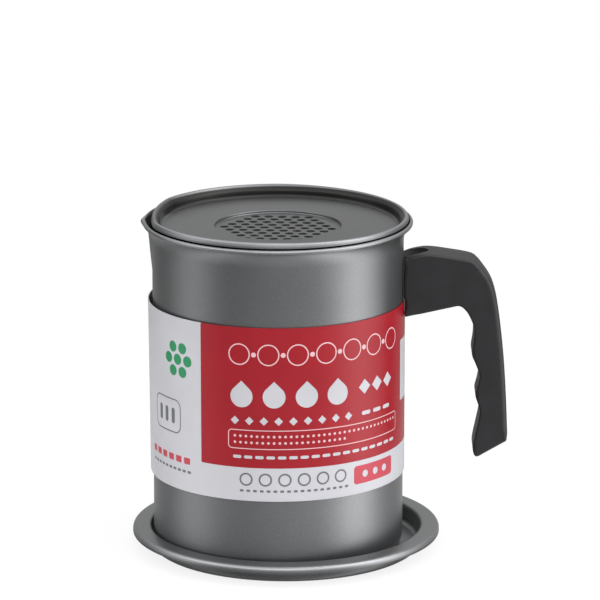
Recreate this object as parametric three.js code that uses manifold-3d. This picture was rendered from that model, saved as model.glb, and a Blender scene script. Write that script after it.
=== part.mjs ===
// A bacon grease container: a drawn steel pot with a pour spout and a moulded handle, a drop-in
// strainer pan with a flatter side at the spout, a paper sleeve round the pot, and a drip tray.
// Millimetres, +Z up. The origin lies on the pot's axis, in the plane that the tray stands on.
// The handle points along +X and the spout along -X.
import * as THREE from "three";
import { mergeGeometries, mergeVertices } from "three/addons/utils/BufferGeometryUtils.js";
import Module from "manifold-3d";

const wasm = await Module();
wasm.setup();

// Clearances, overruns and the distance within which two corners are one
const restGap = 0.3;
const slipGap = 0.4;
const cutOverrun = 2;
const weldDistance = 0.0001;

// Pot
const potRadius = 56;
const potWall = 0.8;
const potHeight = 150.2;
const potFootRadius = 6;
const rimOverhang = 4.1;
const rimBeadRadius = 0.95;
const rimCurlAngle = 220;
const collarHeight = 0.6;
const collarBendRadius = 2.2;
const flareFilletRadius = 4;
const flareAngle = 42;
const spoutReach = 2.5;
const spoutLength = 24;
const spoutTipRounding = 1.2;
const spoutFadePower = 0.85;
const spoutLipHeight = 8.5;
const spoutLipShare = 0.42;
const spoutAzimuth = 178.5;

// Drip tray
const trayWall = 0.8;
const trayPlay = 4.6;
const trayShiftShare = 0.92;
const trayShiftAzimuth = 34;
const trayDepth = 10;
const trayFloorFillet = 3.4;
const trayFlangeWidth = 8.5;
const trayFlangeFall = 1;
const trayLipRadius = 1.2;
const trayLipDrop = 1;

// Strainer pan
const panWall = 0.6;
const panDepth = 5.4;
const panFloorFillet = 1.4;
const panSideDepth = 2.15;
const panSideRadius = 88;
const panCornerRadius = 14;
const panHemRadius = 0.7;
const panHemReach = 2.7;
const panHemFromAngle = -130;
const panHemToAngle = 60;
const panSeatAngle = 37;
const panBeadRadius = 0.9;
const panBeadInset = 0.6;
const panBeadRise = 1.4;
const panBeadFromAngle = -20;
const panBeadToAngle = 170;
const panSideAzimuth = 175;
const sumpRadius = 28;
const sumpDepth = 1.5;
const holeRadius = 2;
const holePitch = 6;
const holeRings = 4;

// Filter mesh and the ring that holds it
const meshThickness = 0.6;
const meshPitch = 4;
const meshBarWidth = 1.2;
const meshRimWidth = 3;
const ringWall = 0.6;

// Handle
const handleWidth = 18;
const handleReach = 44.9;
const handleBelowRim = 14.5;
const handleLength = 94.4;
const handleEdgeRadius = 2.2;
const handleEdgeLengthShare = 0.0245;
const handleEdgeReachShare = 0.05;
const handleStandoff = 1.8;
const scoopLength = 8;
const scoopRadius = 5;
const scoopLift = 1.5;

// The handle's outline: each point is a share of the reach and a share of the drop
const rootTopShares = [0, 0.033];
const humpShares = [0.198, 0];
const cornerShares = [0.633, 0.033];
const spineShares = [
  [0.713, 0.062],
  [0.813, 0.13],
  [0.866, 0.194],
  [0.906, 0.292],
  [0.953, 0.488],
  [0.982, 0.685],
  [1, 0.88],
];
const heelShares = [0.992, 0.915];
const tipShares = [0.7, 1];
const fingerShares = [
  [0.658, 0.925],
  [0.667, 0.848],
  [0.698, 0.791],
  [0.721, 0.744],
  [0.701, 0.692],
  [0.676, 0.643],
  [0.701, 0.599],
  [0.714, 0.553],
  [0.676, 0.49],
  [0.638, 0.434],
  [0.658, 0.373],
  [0.652, 0.331],
  [0.61, 0.29],
  [0.545, 0.257],
];
const elbowShares = [0.5, 0.246];
const rootFootShares = [0, 0.298];

// Handle bracket and screw
const bracketThickness = 1.2;
const bracketWidth = 14;
const bracketInset = 1.5;
const tongueLength = 16;
const tongueWidth = 12;
const tongueThickness = 2.4;
const screwRadius = 1.8;
const screwHeadRadius = 3.6;
const screwHeadHeight = 2.4;
const screwHeadRound = 0.9;
const screwLength = 8.5;
const screwTipLength = 1;
const screwPointWidth = 0.5;
const screwOffset = 9;
const driveWidth = 1.1;
const driveSpan = 4;
const driveDepth = 1.2;

// Paper sleeve
const sleeveThickness = 0.4;
const sleeveRise = 35.7;
const sleeveBelowRim = 35.9;
const sleeveBulgeTop = 1.3;
const sleeveBulgeFoot = 0.5;
const sleeveBulgePower = 1.5;
const sleeveLapWidth = 12;
const sleeveLapAzimuth = 100;

// Steps round the axis and along the arcs
const roundSteps = 48;
const spoutSteps = 5;
const sideSteps = 6;
const cornerSteps = 3;
const arcSteps = 3;
const bendSteps = 2;
const curlSteps = 5;
const edgeSteps = 3;
const sleeveRows = 3;
const holeSides = 8;
const fineSides = 16;

// Places that follow from the sizes
const potBase = trayWall + restGap;
const potTop = potBase + potHeight;
const rimRadius = potRadius + rimOverhang;
const beadCentre = new THREE.Vector2(rimRadius - rimBeadRadius, potTop - rimBeadRadius);
const spoutFoot = potTop - spoutLength;
const trayWellRadius = potRadius + trayPlay;
const trayShift = trayPlay * trayShiftShare;
const trayX = trayShift * Math.cos(radians(trayShiftAzimuth));
const trayY = trayShift * Math.sin(radians(trayShiftAzimuth));
const seatReach = rimBeadRadius + panHemRadius + restGap;
const hemRadiusAtRim = beadCentre.x - seatReach * Math.cos(radians(panSeatAngle));
const hemZ = beadCentre.y + seatReach * Math.sin(radians(panSeatAngle));
const panRadius = hemRadiusAtRim - panHemReach;
const panBeadZ = hemZ + panBeadRise;
const panFloorTop = panBeadZ + panBeadRadius - panDepth;
const panFloorUnder = panFloorTop - panWall;
const sumpTop = panFloorTop - sumpDepth;
const sumpUnder = sumpTop - panWall;
const sumpOuter = sumpRadius + panWall;
const meshTop = sumpUnder - restGap;
const meshUnder = meshTop - meshThickness;
const handleRoot = potRadius + handleStandoff;
const handleTop = potTop - handleBelowRim;
const rootTop = handlePlace(rootTopShares);
const rootFoot = handlePlace(rootFootShares);
const plateInner = potRadius + restGap;
const plateOuter = plateInner + bracketThickness;
const plateTop = rootTop.y - bracketInset;
const plateFoot = rootFoot.y + bracketInset;
const tongueZ = (plateTop + plateFoot) / 2;
const screwX = handleRoot + screwOffset;
const screwTop = tongueZ + tongueThickness / 2 + screwTipLength;
const screwSeat = screwTop - screwLength;
const sleeveInner = potRadius + restGap;
const sleeveFoot = potBase + sleeveRise;
const sleeveTop = potTop - sleeveBelowRim;

// Materials
const coatedSteel = new THREE.MeshStandardMaterial({ color: 0x707274, roughness: 0.42, metalness: 0.75 });
const pressedSteel = new THREE.MeshStandardMaterial({ color: 0x8a8c8e, roughness: 0.35, metalness: 0.9 });
const wireSteel = new THREE.MeshStandardMaterial({ color: 0xb4b6b8, roughness: 0.3, metalness: 0.95 });
const blackPlastic = new THREE.MeshStandardMaterial({ color: 0x2c2b2e, roughness: 0.6, metalness: 0 });
const paper = new THREE.MeshStandardMaterial({ color: 0xd8d8dc, roughness: 0.5, metalness: 0 });

function radians(degrees) {
  return THREE.MathUtils.degToRad(degrees);
}

// A point of the handle's outline, from its shares of the reach and of the drop
function handlePlace([reachShare, dropShare]) {
  return new THREE.Vector2(handleRoot + handleReach * reachShare, handleTop - handleLength * dropShare);
}

// Points on an arc in a profile, from one angle to the other in degrees, both ends included
function arc(centreX, centreZ, radius, from, to, steps = arcSteps) {
  return Array.from({ length: steps + 1 }, (_, i) => {
    const angle = radians(from + ((to - from) * i) / steps);
    return new THREE.Vector2(centreX + radius * Math.cos(angle), centreZ + radius * Math.sin(angle));
  });
}

// A point at a radius, an angle in degrees and a height
function around(radius, angle, height) {
  return new THREE.Vector3(radius * Math.cos(radians(angle)), radius * Math.sin(radians(angle)), height);
}

// Joins columns of points, one for each step round the axis, into a closed skin. Polar columns
// start and end on the axis, and the others close on themselves.
function skin(columns, polar) {
  const count = columns[0].length;
  const rows = polar ? count - 1 : count;
  const faces = [];
  for (let i = 0; i < columns.length; i++) {
    const next = (i + 1) % columns.length;
    for (let j = 0; j < rows; j++) {
      const up = (j + 1) % count;
      const [a, b, c, d] = [i * count + j, next * count + j, next * count + up, i * count + up];
      if (!polar || j > 0) faces.push(a, b, c);
      if (!polar || j < rows - 1) faces.push(a, c, d);
    }
  }
  const geometry = new THREE.BufferGeometry();
  const places = columns.flat().flatMap((p) => [p.x, p.y, p.z]);
  geometry.setAttribute("position", new THREE.Float32BufferAttribute(places, 3));
  geometry.setIndex(faces);
  return geometry;
}

// Turns a geometry into a solid that can be joined and cut
function solidOf(geometry) {
  const bare = geometry.clone();
  bare.deleteAttribute("normal");
  bare.deleteAttribute("uv");
  const merged = mergeVertices(bare, weldDistance);
  return new wasm.Manifold(
    new wasm.Mesh({
      numProp: 3,
      vertProperties: new Float32Array(merged.attributes.position.array),
      triVerts: new Uint32Array(merged.index.array),
    }),
  );
}

// Turns a solid back into a geometry
function geometryOf(solid) {
  const mesh = solid.getMesh();
  const geometry = new THREE.BufferGeometry();
  geometry.setAttribute("position", new THREE.Float32BufferAttribute(mesh.vertProperties, 3));
  geometry.setIndex(Array.from(mesh.triVerts));
  return geometry;
}

// A box from its lowest corner to its highest
function boxBetween(low, high) {
  const size = new THREE.Vector3().subVectors(high, low);
  const middle = new THREE.Vector3().addVectors(low, high).multiplyScalar(0.5);
  return new THREE.BoxGeometry(size.x, size.y, size.z).translate(middle.x, middle.y, middle.z);
}

// A box centred on the plane of the handle
function boxAcross(lowX, highX, width, lowZ, highZ) {
  return boxBetween(
    new THREE.Vector3(lowX, -width / 2, lowZ),
    new THREE.Vector3(highX, width / 2, highZ),
  );
}

// An upright cylinder between two heights
function post(radius, bottom, top, x = 0, y = 0, sides = roundSteps) {
  return new THREE.CylinderGeometry(radius, radius, top - bottom, sides)
    .rotateX(Math.PI / 2)
    .translate(x, y, (top + bottom) / 2);
}

// A profile of radius and height turned round the upright axis
function turned(profile, sides = roundSteps) {
  return new THREE.LatheGeometry(profile, sides).rotateX(Math.PI / 2);
}

// Steps round the pot in degrees, closer together across the spout
function potAngles() {
  const half = THREE.MathUtils.radToDeg(Math.acos(rimRadius / (rimRadius + spoutReach)));
  const across = Array.from(
    { length: 2 * spoutSteps + 1 },
    (_, i) => spoutAzimuth + (half * (i - spoutSteps)) / spoutSteps,
  );
  const restSteps = roundSteps - spoutSteps;
  const rest = Array.from(
    { length: restSteps - 1 },
    (_, i) => spoutAzimuth + half + ((360 - 2 * half) * (i + 1)) / restSteps,
  );
  return [...across, ...rest];
}

// The spout pushes the round wall out to a point, whose straight sides run on from the wall
// without a break. The push fades to nothing at the foot of the spout, and to a share at the rim.
function spoutRadius(radius, height, angle) {
  const fade = THREE.MathUtils.clamp((height - spoutFoot) / spoutLength, 0, 1);
  const lip = THREE.MathUtils.clamp(1 - (potTop - height) / spoutLipHeight, 0, 1);
  const push = spoutReach * Math.pow(fade, spoutFadePower) * (1 - lip * (1 - spoutLipShare));
  const half = Math.acos(radius / (radius + push));
  const off = Math.hypot(radians(angle - spoutAzimuth), (spoutTipRounding * fade) / rimRadius);
  return radius / Math.cos(Math.max(0, half - off));
}

// The pot is one drawn shell: a rounded foot, a wall, a flare up to a collar, and a rolled rim
function potBody() {
  const footX = potRadius - potFootRadius;
  const footZ = potBase + potFootRadius;
  const collarZ = beadCentre.y - collarHeight;
  const bendX = rimRadius - collarBendRadius;
  const filletX = potRadius + flareFilletRadius;
  const lean = radians(flareAngle);
  const coneWidth =
    bendX + collarBendRadius * Math.cos(lean) - (filletX - flareFilletRadius * Math.cos(lean));
  const coneFootZ = collarZ - collarBendRadius * Math.sin(lean) - coneWidth / Math.tan(lean);
  const filletZ = coneFootZ - flareFilletRadius * Math.sin(lean);
  const spoutMiddle = (spoutFoot + filletZ) / 2;
  const profile = [
    new THREE.Vector2(0, potBase),
    ...arc(footX, footZ, potFootRadius, -90, 0),
    new THREE.Vector2(potRadius, spoutFoot),
    new THREE.Vector2(potRadius, spoutMiddle),
    ...arc(filletX, filletZ, flareFilletRadius, 180, 180 - flareAngle),
    ...arc(bendX, collarZ, collarBendRadius, -flareAngle, 0, bendSteps),
    ...arc(beadCentre.x, beadCentre.y, rimBeadRadius, 0, rimCurlAngle, curlSteps),
    ...arc(bendX, collarZ, collarBendRadius - potWall, 0, -flareAngle, bendSteps),
    ...arc(filletX, filletZ, flareFilletRadius + potWall, 180 - flareAngle, 180),
    new THREE.Vector2(potRadius - potWall, spoutMiddle),
    new THREE.Vector2(potRadius - potWall, spoutFoot),
    ...arc(footX, footZ, potFootRadius - potWall, 0, -90),
    new THREE.Vector2(0, potBase + potWall),
  ];
  const columns = potAngles().map((angle) =>
    profile.map((p) => around(p.y > spoutFoot ? spoutRadius(p.x, p.y, angle) : p.x, angle, p.y)),
  );
  return skin(columns, true);
}

// The tray: a flat floor, an upright well wall, and a wide flange whose edge turns down
function dripTray() {
  const wellOuter = trayWellRadius + trayWall;
  const filletX = wellOuter - trayFloorFillet;
  const flangeEdge = trayWellRadius + trayFlangeWidth;
  const lipX = flangeEdge - trayLipRadius;
  const lipZ = trayDepth - trayFlangeFall - trayLipRadius;
  const lipFoot = lipZ - trayLipDrop;
  const profile = [
    new THREE.Vector2(0, 0),
    ...arc(filletX, trayFloorFillet, trayFloorFillet, -90, 0),
    new THREE.Vector2(wellOuter, trayDepth - 2 * trayWall),
    new THREE.Vector2(wellOuter + trayWall, trayDepth - trayWall),
    ...arc(lipX, lipZ, trayLipRadius - trayWall, 90, 0, bendSteps),
    new THREE.Vector2(flangeEdge - trayWall, lipFoot),
    new THREE.Vector2(flangeEdge, lipFoot),
    ...arc(lipX, lipZ, trayLipRadius, 0, 90),
    new THREE.Vector2(wellOuter, trayDepth),
    new THREE.Vector2(trayWellRadius, trayDepth - trayWall),
    ...arc(filletX, trayFloorFillet, trayFloorFillet - trayWall, 0, -90),
    new THREE.Vector2(0, trayWall),
  ];
  return turned(profile).translate(trayX, trayY, 0);
}

// The pan's outline from above is a circle with one flatter side and rounded corners. Each point
// has its outward direction, so that a profile can stand off it. The flatter side faces +X here.
function panOutline() {
  const sideX = panRadius - panSideDepth - panSideRadius;
  const sideReach = panSideRadius - panCornerRadius;
  const roundReach = panRadius - panCornerRadius;
  const cornerX = (roundReach ** 2 - sideReach ** 2 + sideX ** 2) / (2 * sideX);
  const cornerY = Math.sqrt(roundReach ** 2 - cornerX ** 2);
  const sideSwing = Math.atan2(cornerY, cornerX - sideX);
  const roundSwing = Math.atan2(cornerY, cornerX);
  const run = (x, y, radius, from, to, steps) =>
    Array.from({ length: steps }, (_, i) => {
      const angle = from + ((to - from) * i) / steps;
      const out = new THREE.Vector2(Math.cos(angle), Math.sin(angle));
      return { place: new THREE.Vector2(x, y).addScaledVector(out, radius), out };
    });
  return [
    ...run(sideX, 0, panSideRadius, -sideSwing, sideSwing, sideSteps),
    ...run(cornerX, cornerY, panCornerRadius, sideSwing, roundSwing, cornerSteps),
    ...run(0, 0, panRadius, roundSwing, 2 * Math.PI - roundSwing, roundSteps - sideSteps),
    ...run(cornerX, -cornerY, panCornerRadius, -roundSwing, -sideSwing, cornerSteps),
  ];
}

// Places in rings of six, twelve, eighteen and so on round a middle one
function hexPlaces(pitch, rings) {
  const places = [];
  for (let q = -rings; q <= rings; q++)
    for (let r = Math.max(-rings, -q - rings); r <= Math.min(rings, rings - q); r++)
      places.push(new THREE.Vector2(pitch * (q + r / 2), (pitch * r * Math.sqrt(3)) / 2));
  return places;
}

// The strainer pan: a shallow dish with a flatter side, a rolled rim over a hem, and a round sump
// pressed into the floor and pierced with holes
function strainerPan() {
  const filletX = -panWall - panFloorFillet;
  const filletZ = panFloorTop + panFloorFillet;
  const beadX = panHemReach - panBeadInset;
  const wall = [
    ...arc(filletX, filletZ, panFloorFillet + panWall, -90, 0),
    new THREE.Vector2(0, hemZ - panHemRadius),
    ...arc(panHemReach, hemZ, panHemRadius, panHemFromAngle, panHemToAngle, curlSteps),
    ...arc(beadX, panBeadZ, panBeadRadius, panBeadFromAngle, panBeadToAngle, curlSteps),
    new THREE.Vector2(-panWall, hemZ),
    ...arc(filletX, filletZ, panFloorFillet, 0, -90),
  ];
  const columns = panOutline().map(({ place, out }) => {
    const axial = new THREE.Vector2().copy(place).normalize();
    const ringPoint = (radius, z) => new THREE.Vector3(axial.x * radius, axial.y * radius, z);
    return [
      new THREE.Vector3(0, 0, sumpUnder),
      ringPoint(sumpOuter, sumpUnder),
      ringPoint(sumpOuter, panFloorUnder),
      ...wall.map((p) => new THREE.Vector3(place.x + out.x * p.x, place.y + out.y * p.x, p.y)),
      ringPoint(sumpRadius, panFloorTop),
      ringPoint(sumpRadius, sumpTop),
      new THREE.Vector3(0, 0, sumpTop),
    ];
  });
  const holes = hexPlaces(holePitch, holeRings).map((p) =>
    post(holeRadius, sumpUnder - cutOverrun, sumpTop + cutOverrun, p.x, p.y, holeSides),
  );
  const pan = solidOf(skin(columns, true)).subtract(solidOf(mergeGeometries(holes)));
  return geometryOf(pan).rotateZ(radians(panSideAzimuth));
}

// The filter mesh: crossed bars inside a plain rim, lying under the sump
function filterMesh() {
  const openRadius = sumpOuter - meshRimWidth;
  const opening = meshPitch - meshBarWidth;
  const reach = Math.floor(openRadius / meshPitch);
  const gaps = [];
  for (let i = -reach; i <= reach; i++)
    for (let j = -reach; j <= reach; j++) {
      const far = Math.hypot(Math.abs(i) * meshPitch + opening / 2, Math.abs(j) * meshPitch + opening / 2);
      if (far < openRadius)
        gaps.push(
          new THREE.BoxGeometry(opening, opening, meshThickness + 2 * cutOverrun).translate(
            i * meshPitch,
            j * meshPitch,
            meshTop,
          ),
        );
    }
  const disc = solidOf(post(sumpOuter, meshUnder, meshTop));
  return geometryOf(disc.subtract(solidOf(mergeGeometries(gaps))));
}

// The ring grips the sump's wall from outside and holds the mesh's rim up with its lip
function meshRing() {
  const legInner = sumpOuter + restGap;
  const legOuter = legInner + ringWall;
  const lipInner = sumpOuter - meshRimWidth;
  const lipTop = meshUnder - restGap;
  const lipUnder = lipTop - ringWall;
  const legTop = panFloorUnder - restGap;
  const profile = [
    new THREE.Vector2(lipInner, lipUnder),
    new THREE.Vector2(legOuter, lipUnder),
    new THREE.Vector2(legOuter, legTop),
    new THREE.Vector2(legInner, legTop),
    new THREE.Vector2(legInner, lipTop),
    new THREE.Vector2(lipInner, lipTop),
    new THREE.Vector2(lipInner, lipUnder),
  ];
  return turned(profile);
}

// The grip's side view: root, hump, straight top, curved spine, slanted end and finger side
function handleShape() {
  const shape = new THREE.Shape();
  const inside = potRadius - cutOverrun;
  const line = (shares) => {
    const p = handlePlace(shares);
    shape.lineTo(p.x, p.y);
  };
  shape.moveTo(inside, rootFoot.y);
  shape.lineTo(inside, rootTop.y);
  line(rootTopShares);
  line(humpShares);
  line(cornerShares);
  shape.splineThru(spineShares.map((shares) => handlePlace(shares)));
  line(heelShares);
  line(tipShares);
  shape.splineThru(fingerShares.map((shares) => handlePlace(shares)));
  line(elbowShares);
  line(rootFootShares);
  return shape;
}

// The moulded grip, with rounded edges that its finger hollows have room for, a root that follows
// the pot's wall, a socket for the bracket's tongue, a scoop over the bracket, and a sunk hole for
// the screw
function handleGrip() {
  const edge = Math.min(
    handleEdgeRadius,
    handleLength * handleEdgeLengthShare,
    handleReach * handleEdgeReachShare,
  );
  const block = new THREE.ExtrudeGeometry(handleShape(), {
    depth: handleWidth - 2 * edge,
    curveSegments: bendSteps,
    bevelThickness: edge,
    bevelSize: edge,
    bevelOffset: -edge,
    bevelSegments: edgeSteps,
  })
    .translate(0, 0, edge - handleWidth / 2)
    .rotateX(Math.PI / 2);
  const socketHigh = tongueThickness / 2 + slipGap;
  const socket = boxAcross(
    potRadius,
    handleRoot + tongueLength + slipGap,
    tongueWidth + 2 * slipGap,
    tongueZ - socketHigh,
    tongueZ + socketHigh,
  );
  const scoopBarrel = 2 * (scoopLength - scoopRadius);
  const scoop = new THREE.CapsuleGeometry(scoopRadius, scoopBarrel, edgeSteps, fineSides)
    .rotateZ(Math.PI / 2)
    .translate(handleRoot, 0, rootTop.y + scoopLift);
  const shankHole = post(
    screwRadius + restGap,
    screwSeat - cutOverrun,
    screwTop + slipGap,
    screwX,
    0,
    fineSides,
  );
  const headHole = post(screwHeadRadius + slipGap, rootFoot.y, screwSeat + restGap, screwX, 0, fineSides);
  const wallRoom = post(handleRoot, rootFoot.y - cutOverrun, handleTop + cutOverrun);
  const cuts = [socket, scoop, shankHole, headHole, wallRoom];
  return geometryOf(cuts.reduce((grip, cut) => grip.subtract(solidOf(cut)), solidOf(block)));
}

// The bracket: a curved plate welded to the pot's wall, and a tongue with the screw's hole
function handleBracket() {
  const tube = solidOf(post(plateOuter, plateFoot, plateTop)).subtract(
    solidOf(post(plateInner, plateFoot - cutOverrun, plateTop + cutOverrun)),
  );
  const window = boxAcross(0, plateOuter + cutOverrun, bracketWidth, plateFoot, plateTop);
  const tongue = boxAcross(
    plateInner + bracketThickness / 2,
    handleRoot + tongueLength,
    tongueWidth,
    tongueZ - tongueThickness / 2,
    tongueZ + tongueThickness / 2,
  );
  const hole = post(
    screwRadius + restGap,
    tongueZ - cutOverrun,
    tongueZ + cutOverrun,
    screwX,
    0,
    fineSides,
  );
  return geometryOf(tube.intersect(solidOf(window)).add(solidOf(tongue)).subtract(solidOf(hole)));
}

// The screw goes up through the grip into the tongue, with a cross recess in its pan head
function handleScrew() {
  const headUnder = screwSeat - screwHeadHeight;
  const profile = [
    new THREE.Vector2(0, headUnder),
    new THREE.Vector2(screwHeadRadius - screwHeadRound, headUnder),
    new THREE.Vector2(screwHeadRadius, headUnder + screwHeadRound),
    new THREE.Vector2(screwHeadRadius, screwSeat),
    new THREE.Vector2(screwRadius, screwSeat),
    new THREE.Vector2(screwRadius, screwTop - screwPointWidth),
    new THREE.Vector2(screwRadius - screwPointWidth, screwTop),
    new THREE.Vector2(0, screwTop),
  ];
  const slot = (lengthX, lengthY) =>
    solidOf(
      new THREE.BoxGeometry(lengthX, lengthY, 2 * driveDepth).translate(0, 0, headUnder),
    );
  const screw = solidOf(turned(profile, fineSides))
    .subtract(slot(driveSpan, driveWidth))
    .subtract(slot(driveWidth, driveSpan));
  return geometryOf(screw).translate(screwX, 0, 0);
}

// Steps round the sleeve in degrees, with a pair of steps at each edge of the glued lap
function sleeveAngles() {
  const degrees = (length) => THREE.MathUtils.radToDeg(length / sleeveInner);
  const lapHalf = degrees(sleeveLapWidth) / 2;
  const edge = degrees(sleeveThickness) / 2;
  const restSpan = 360 - 2 * (lapHalf + edge);
  const rest = Array.from(
    { length: roundSteps - 1 },
    (_, i) => sleeveLapAzimuth + lapHalf + edge + (restSpan * (i + 1)) / roundSteps,
  );
  const lap = [-lapHalf - edge, edge - lapHalf, 0, lapHalf - edge, lapHalf + edge];
  return [...lap.map((off) => sleeveLapAzimuth + off), ...rest];
}

// The paper sleeve is a loose band: it lies on the wall near the handle and stands off on the
// other side, more at its top edge. It is double at the glued lap, and notched for the bracket.
function labelSleeve() {
  const lapReach = THREE.MathUtils.radToDeg(sleeveLapWidth / sleeveInner) / 2;
  const heights = Array.from(
    { length: sleeveRows + 1 },
    (_, i) => sleeveFoot + ((sleeveTop - sleeveFoot) * i) / sleeveRows,
  );
  const bulge = (angle, z) => {
    const climb = (z - sleeveFoot) / (sleeveTop - sleeveFoot);
    const side = Math.pow(Math.max(0, -Math.cos(radians(angle))), sleeveBulgePower);
    return (sleeveBulgeFoot + (sleeveBulgeTop - sleeveBulgeFoot) * climb) * side;
  };
  const columns = sleeveAngles().map((angle) => {
    const layers = Math.abs(angle - sleeveLapAzimuth) < lapReach ? 2 : 1;
    const outer = heights.map((z) =>
      around(sleeveInner + bulge(angle, z) + layers * sleeveThickness, angle, z),
    );
    const inner = heights.map((z) => around(sleeveInner + bulge(angle, z), angle, z));
    return [...outer, ...inner.reverse()];
  });
  const notch = boxAcross(
    potRadius - cutOverrun,
    plateOuter + cutOverrun,
    bracketWidth + 2 * slipGap,
    plateFoot - slipGap,
    sleeveTop + cutOverrun,
  );
  return geometryOf(solidOf(skin(columns, false)).subtract(solidOf(notch)));
}

// Gives a geometry flat-shaded normals, its material and its name
function piece(name, geometry, material) {
  const faceted = geometry.index ? geometry.toNonIndexed() : geometry;
  faceted.computeVertexNormals();
  const mesh = new THREE.Mesh(faceted, material);
  mesh.name = name;
  return mesh;
}

// The strainer lifts out of the pot, and the pot with all that is on it lifts off the tray
const strainer = new THREE.Group();
strainer.add(
  piece("strainer_pan", strainerPan(), coatedSteel),
  piece("filter_mesh", filterMesh(), wireSteel),
  piece("mesh_ring", meshRing(), pressedSteel),
);

const pot = new THREE.Group();
pot.add(
  piece("pot_body", potBody(), coatedSteel),
  piece("handle_bracket", handleBracket(), pressedSteel),
  piece("handle_grip", handleGrip(), blackPlastic),
  piece("handle_screw", handleScrew(), pressedSteel),
  piece("label_sleeve", labelSleeve(), paper),
  strainer,
);

const container = new THREE.Group();
container.add(piece("drip_tray", dripTray(), coatedSteel), pot);

export default container;
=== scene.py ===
"""A bacon grease container, built piece by piece around its fixed frame.

A coated steel pot with a pour spout and a moulded grip, a strainer pan over a woven wire cloth,
a printed card sleeve and a drip tray. Metres, +Z up, the grip towards +X, the spout towards -X.
"""

import math

import bmesh
import bpy
import numpy as np
from bpy.props import FloatProperty, FloatVectorProperty, IntProperty, PointerProperty
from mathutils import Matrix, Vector


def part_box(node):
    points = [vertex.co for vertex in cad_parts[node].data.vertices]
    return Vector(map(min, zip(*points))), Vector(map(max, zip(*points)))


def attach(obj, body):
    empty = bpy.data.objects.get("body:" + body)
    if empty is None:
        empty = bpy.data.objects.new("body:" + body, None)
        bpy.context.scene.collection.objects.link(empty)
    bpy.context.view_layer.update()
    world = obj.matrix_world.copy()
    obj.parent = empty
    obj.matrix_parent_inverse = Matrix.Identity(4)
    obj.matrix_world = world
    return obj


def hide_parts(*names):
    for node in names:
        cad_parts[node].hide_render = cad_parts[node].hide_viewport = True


bl_info = {
    "name": "Bacon Grease Container",
    "version": (1, 0, 0),
    "blender": (4, 5, 0),
    "location": "3D Viewport > Sidebar > Grease Pot",
    "description": "Adds a strainer pot for bacon grease piece by piece, and a stage for it",
    "category": "Add Mesh",
}

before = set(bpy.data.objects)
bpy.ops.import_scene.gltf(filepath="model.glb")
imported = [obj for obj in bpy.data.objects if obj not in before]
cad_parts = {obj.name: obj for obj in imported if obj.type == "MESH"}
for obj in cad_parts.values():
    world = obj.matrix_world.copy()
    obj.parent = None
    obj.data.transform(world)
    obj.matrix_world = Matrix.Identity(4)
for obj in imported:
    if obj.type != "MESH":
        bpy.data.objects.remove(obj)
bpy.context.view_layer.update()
MM = 0.001

POT_LOW, POT_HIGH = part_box("pot_body")
PAN_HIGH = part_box("strainer_pan")[1]
CLOTH_LOW, CLOTH_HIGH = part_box("filter_mesh")
RING_LOW, RING_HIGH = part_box("mesh_ring")
GRIP_LOW, GRIP_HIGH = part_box("handle_grip")
SCREW_LOW, SCREW_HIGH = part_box("handle_screw")
SLEEVE_LOW, SLEEVE_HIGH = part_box("label_sleeve")
TRAY_LOW, TRAY_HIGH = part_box("drip_tray")

# Small shapes that follow from how the pieces are made
SPOUT_FADE = 0.85  # the power with which the spout's push fades down the wall
RECESS_EDGE = 1.5 * MM  # width of the slope round the pressed middle of the base
FLARE_JOIN = 0.7  # how far under the rolled rim's middle the flare ends, in its radii
CLOTH_EDGE = 0.3 * MM  # how far the cloth's circle stays inside the sump's wall
CARD_WAVES = 0.11 * MM  # half the height of the card's long waves

# Where the pan's lines meet its hem and its bead: how far under their middles, as shares of their
# radii, and the last two how far out, as shares of their reach
PAN_JOINS = {
    "hem foot": 1.3,
    "hem": 1.05,
    "wall": 0.6,
    "bead": 0.35,
    "bead foot": 1.1,
    "slope": 0.35,
    "inside": -0.1,
}

# Small shapes of the grip, its cuts and its screw
OUTLINE_STEP = 0.35 * MM  # from one point of the outline to the next
CREST_WIDTH = 5 * MM  # how wide a part of the outline a crest is measured against
CREST_ROUNDING = 1.4 * MM  # how much rounder the edge is on a crest, at most
CREST_FACING = -0.5  # crests lie where the outline faces the pot by more than this
CORNER_SHARE, CORNER_SLOPE = 0.6, 0.3  # the rounding's share of a corner's radius, and its slope
STRAIGHT_RADIUS = 100 * MM  # the radius that a straight part of the outline counts as
SIDE_FACE_INSET = 1.15  # where the side face begins, in roundings from the outline
ROOT_BLEND = 6 * MM  # over what length the root bends to the wall's curve
ROOT_OVER_SLEEVE = 0.5 * MM  # how much further the root runs in above the sleeve
SLEEVE_CLEAR = 0.3 * MM  # how far over the sleeve's top edge that begins
SCOOP_MIDDLE = 0.2 * MM  # how far the middle of the scoop's ball lies over the grip's top
SCOOP_OVER_ROOT = 2.2 * MM  # and over the level that the scoop's depth is taken from
SCREW_TIP, THREAD_START = 0.4 * MM, 0.6 * MM  # from the last ring to the tip, and from the head
RECESS_ARM, RECESS_SLOT, RECESS_DEPTH = 2 * MM, 0.5 * MM, 1.2 * MM  # the screw's cross recess

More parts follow.
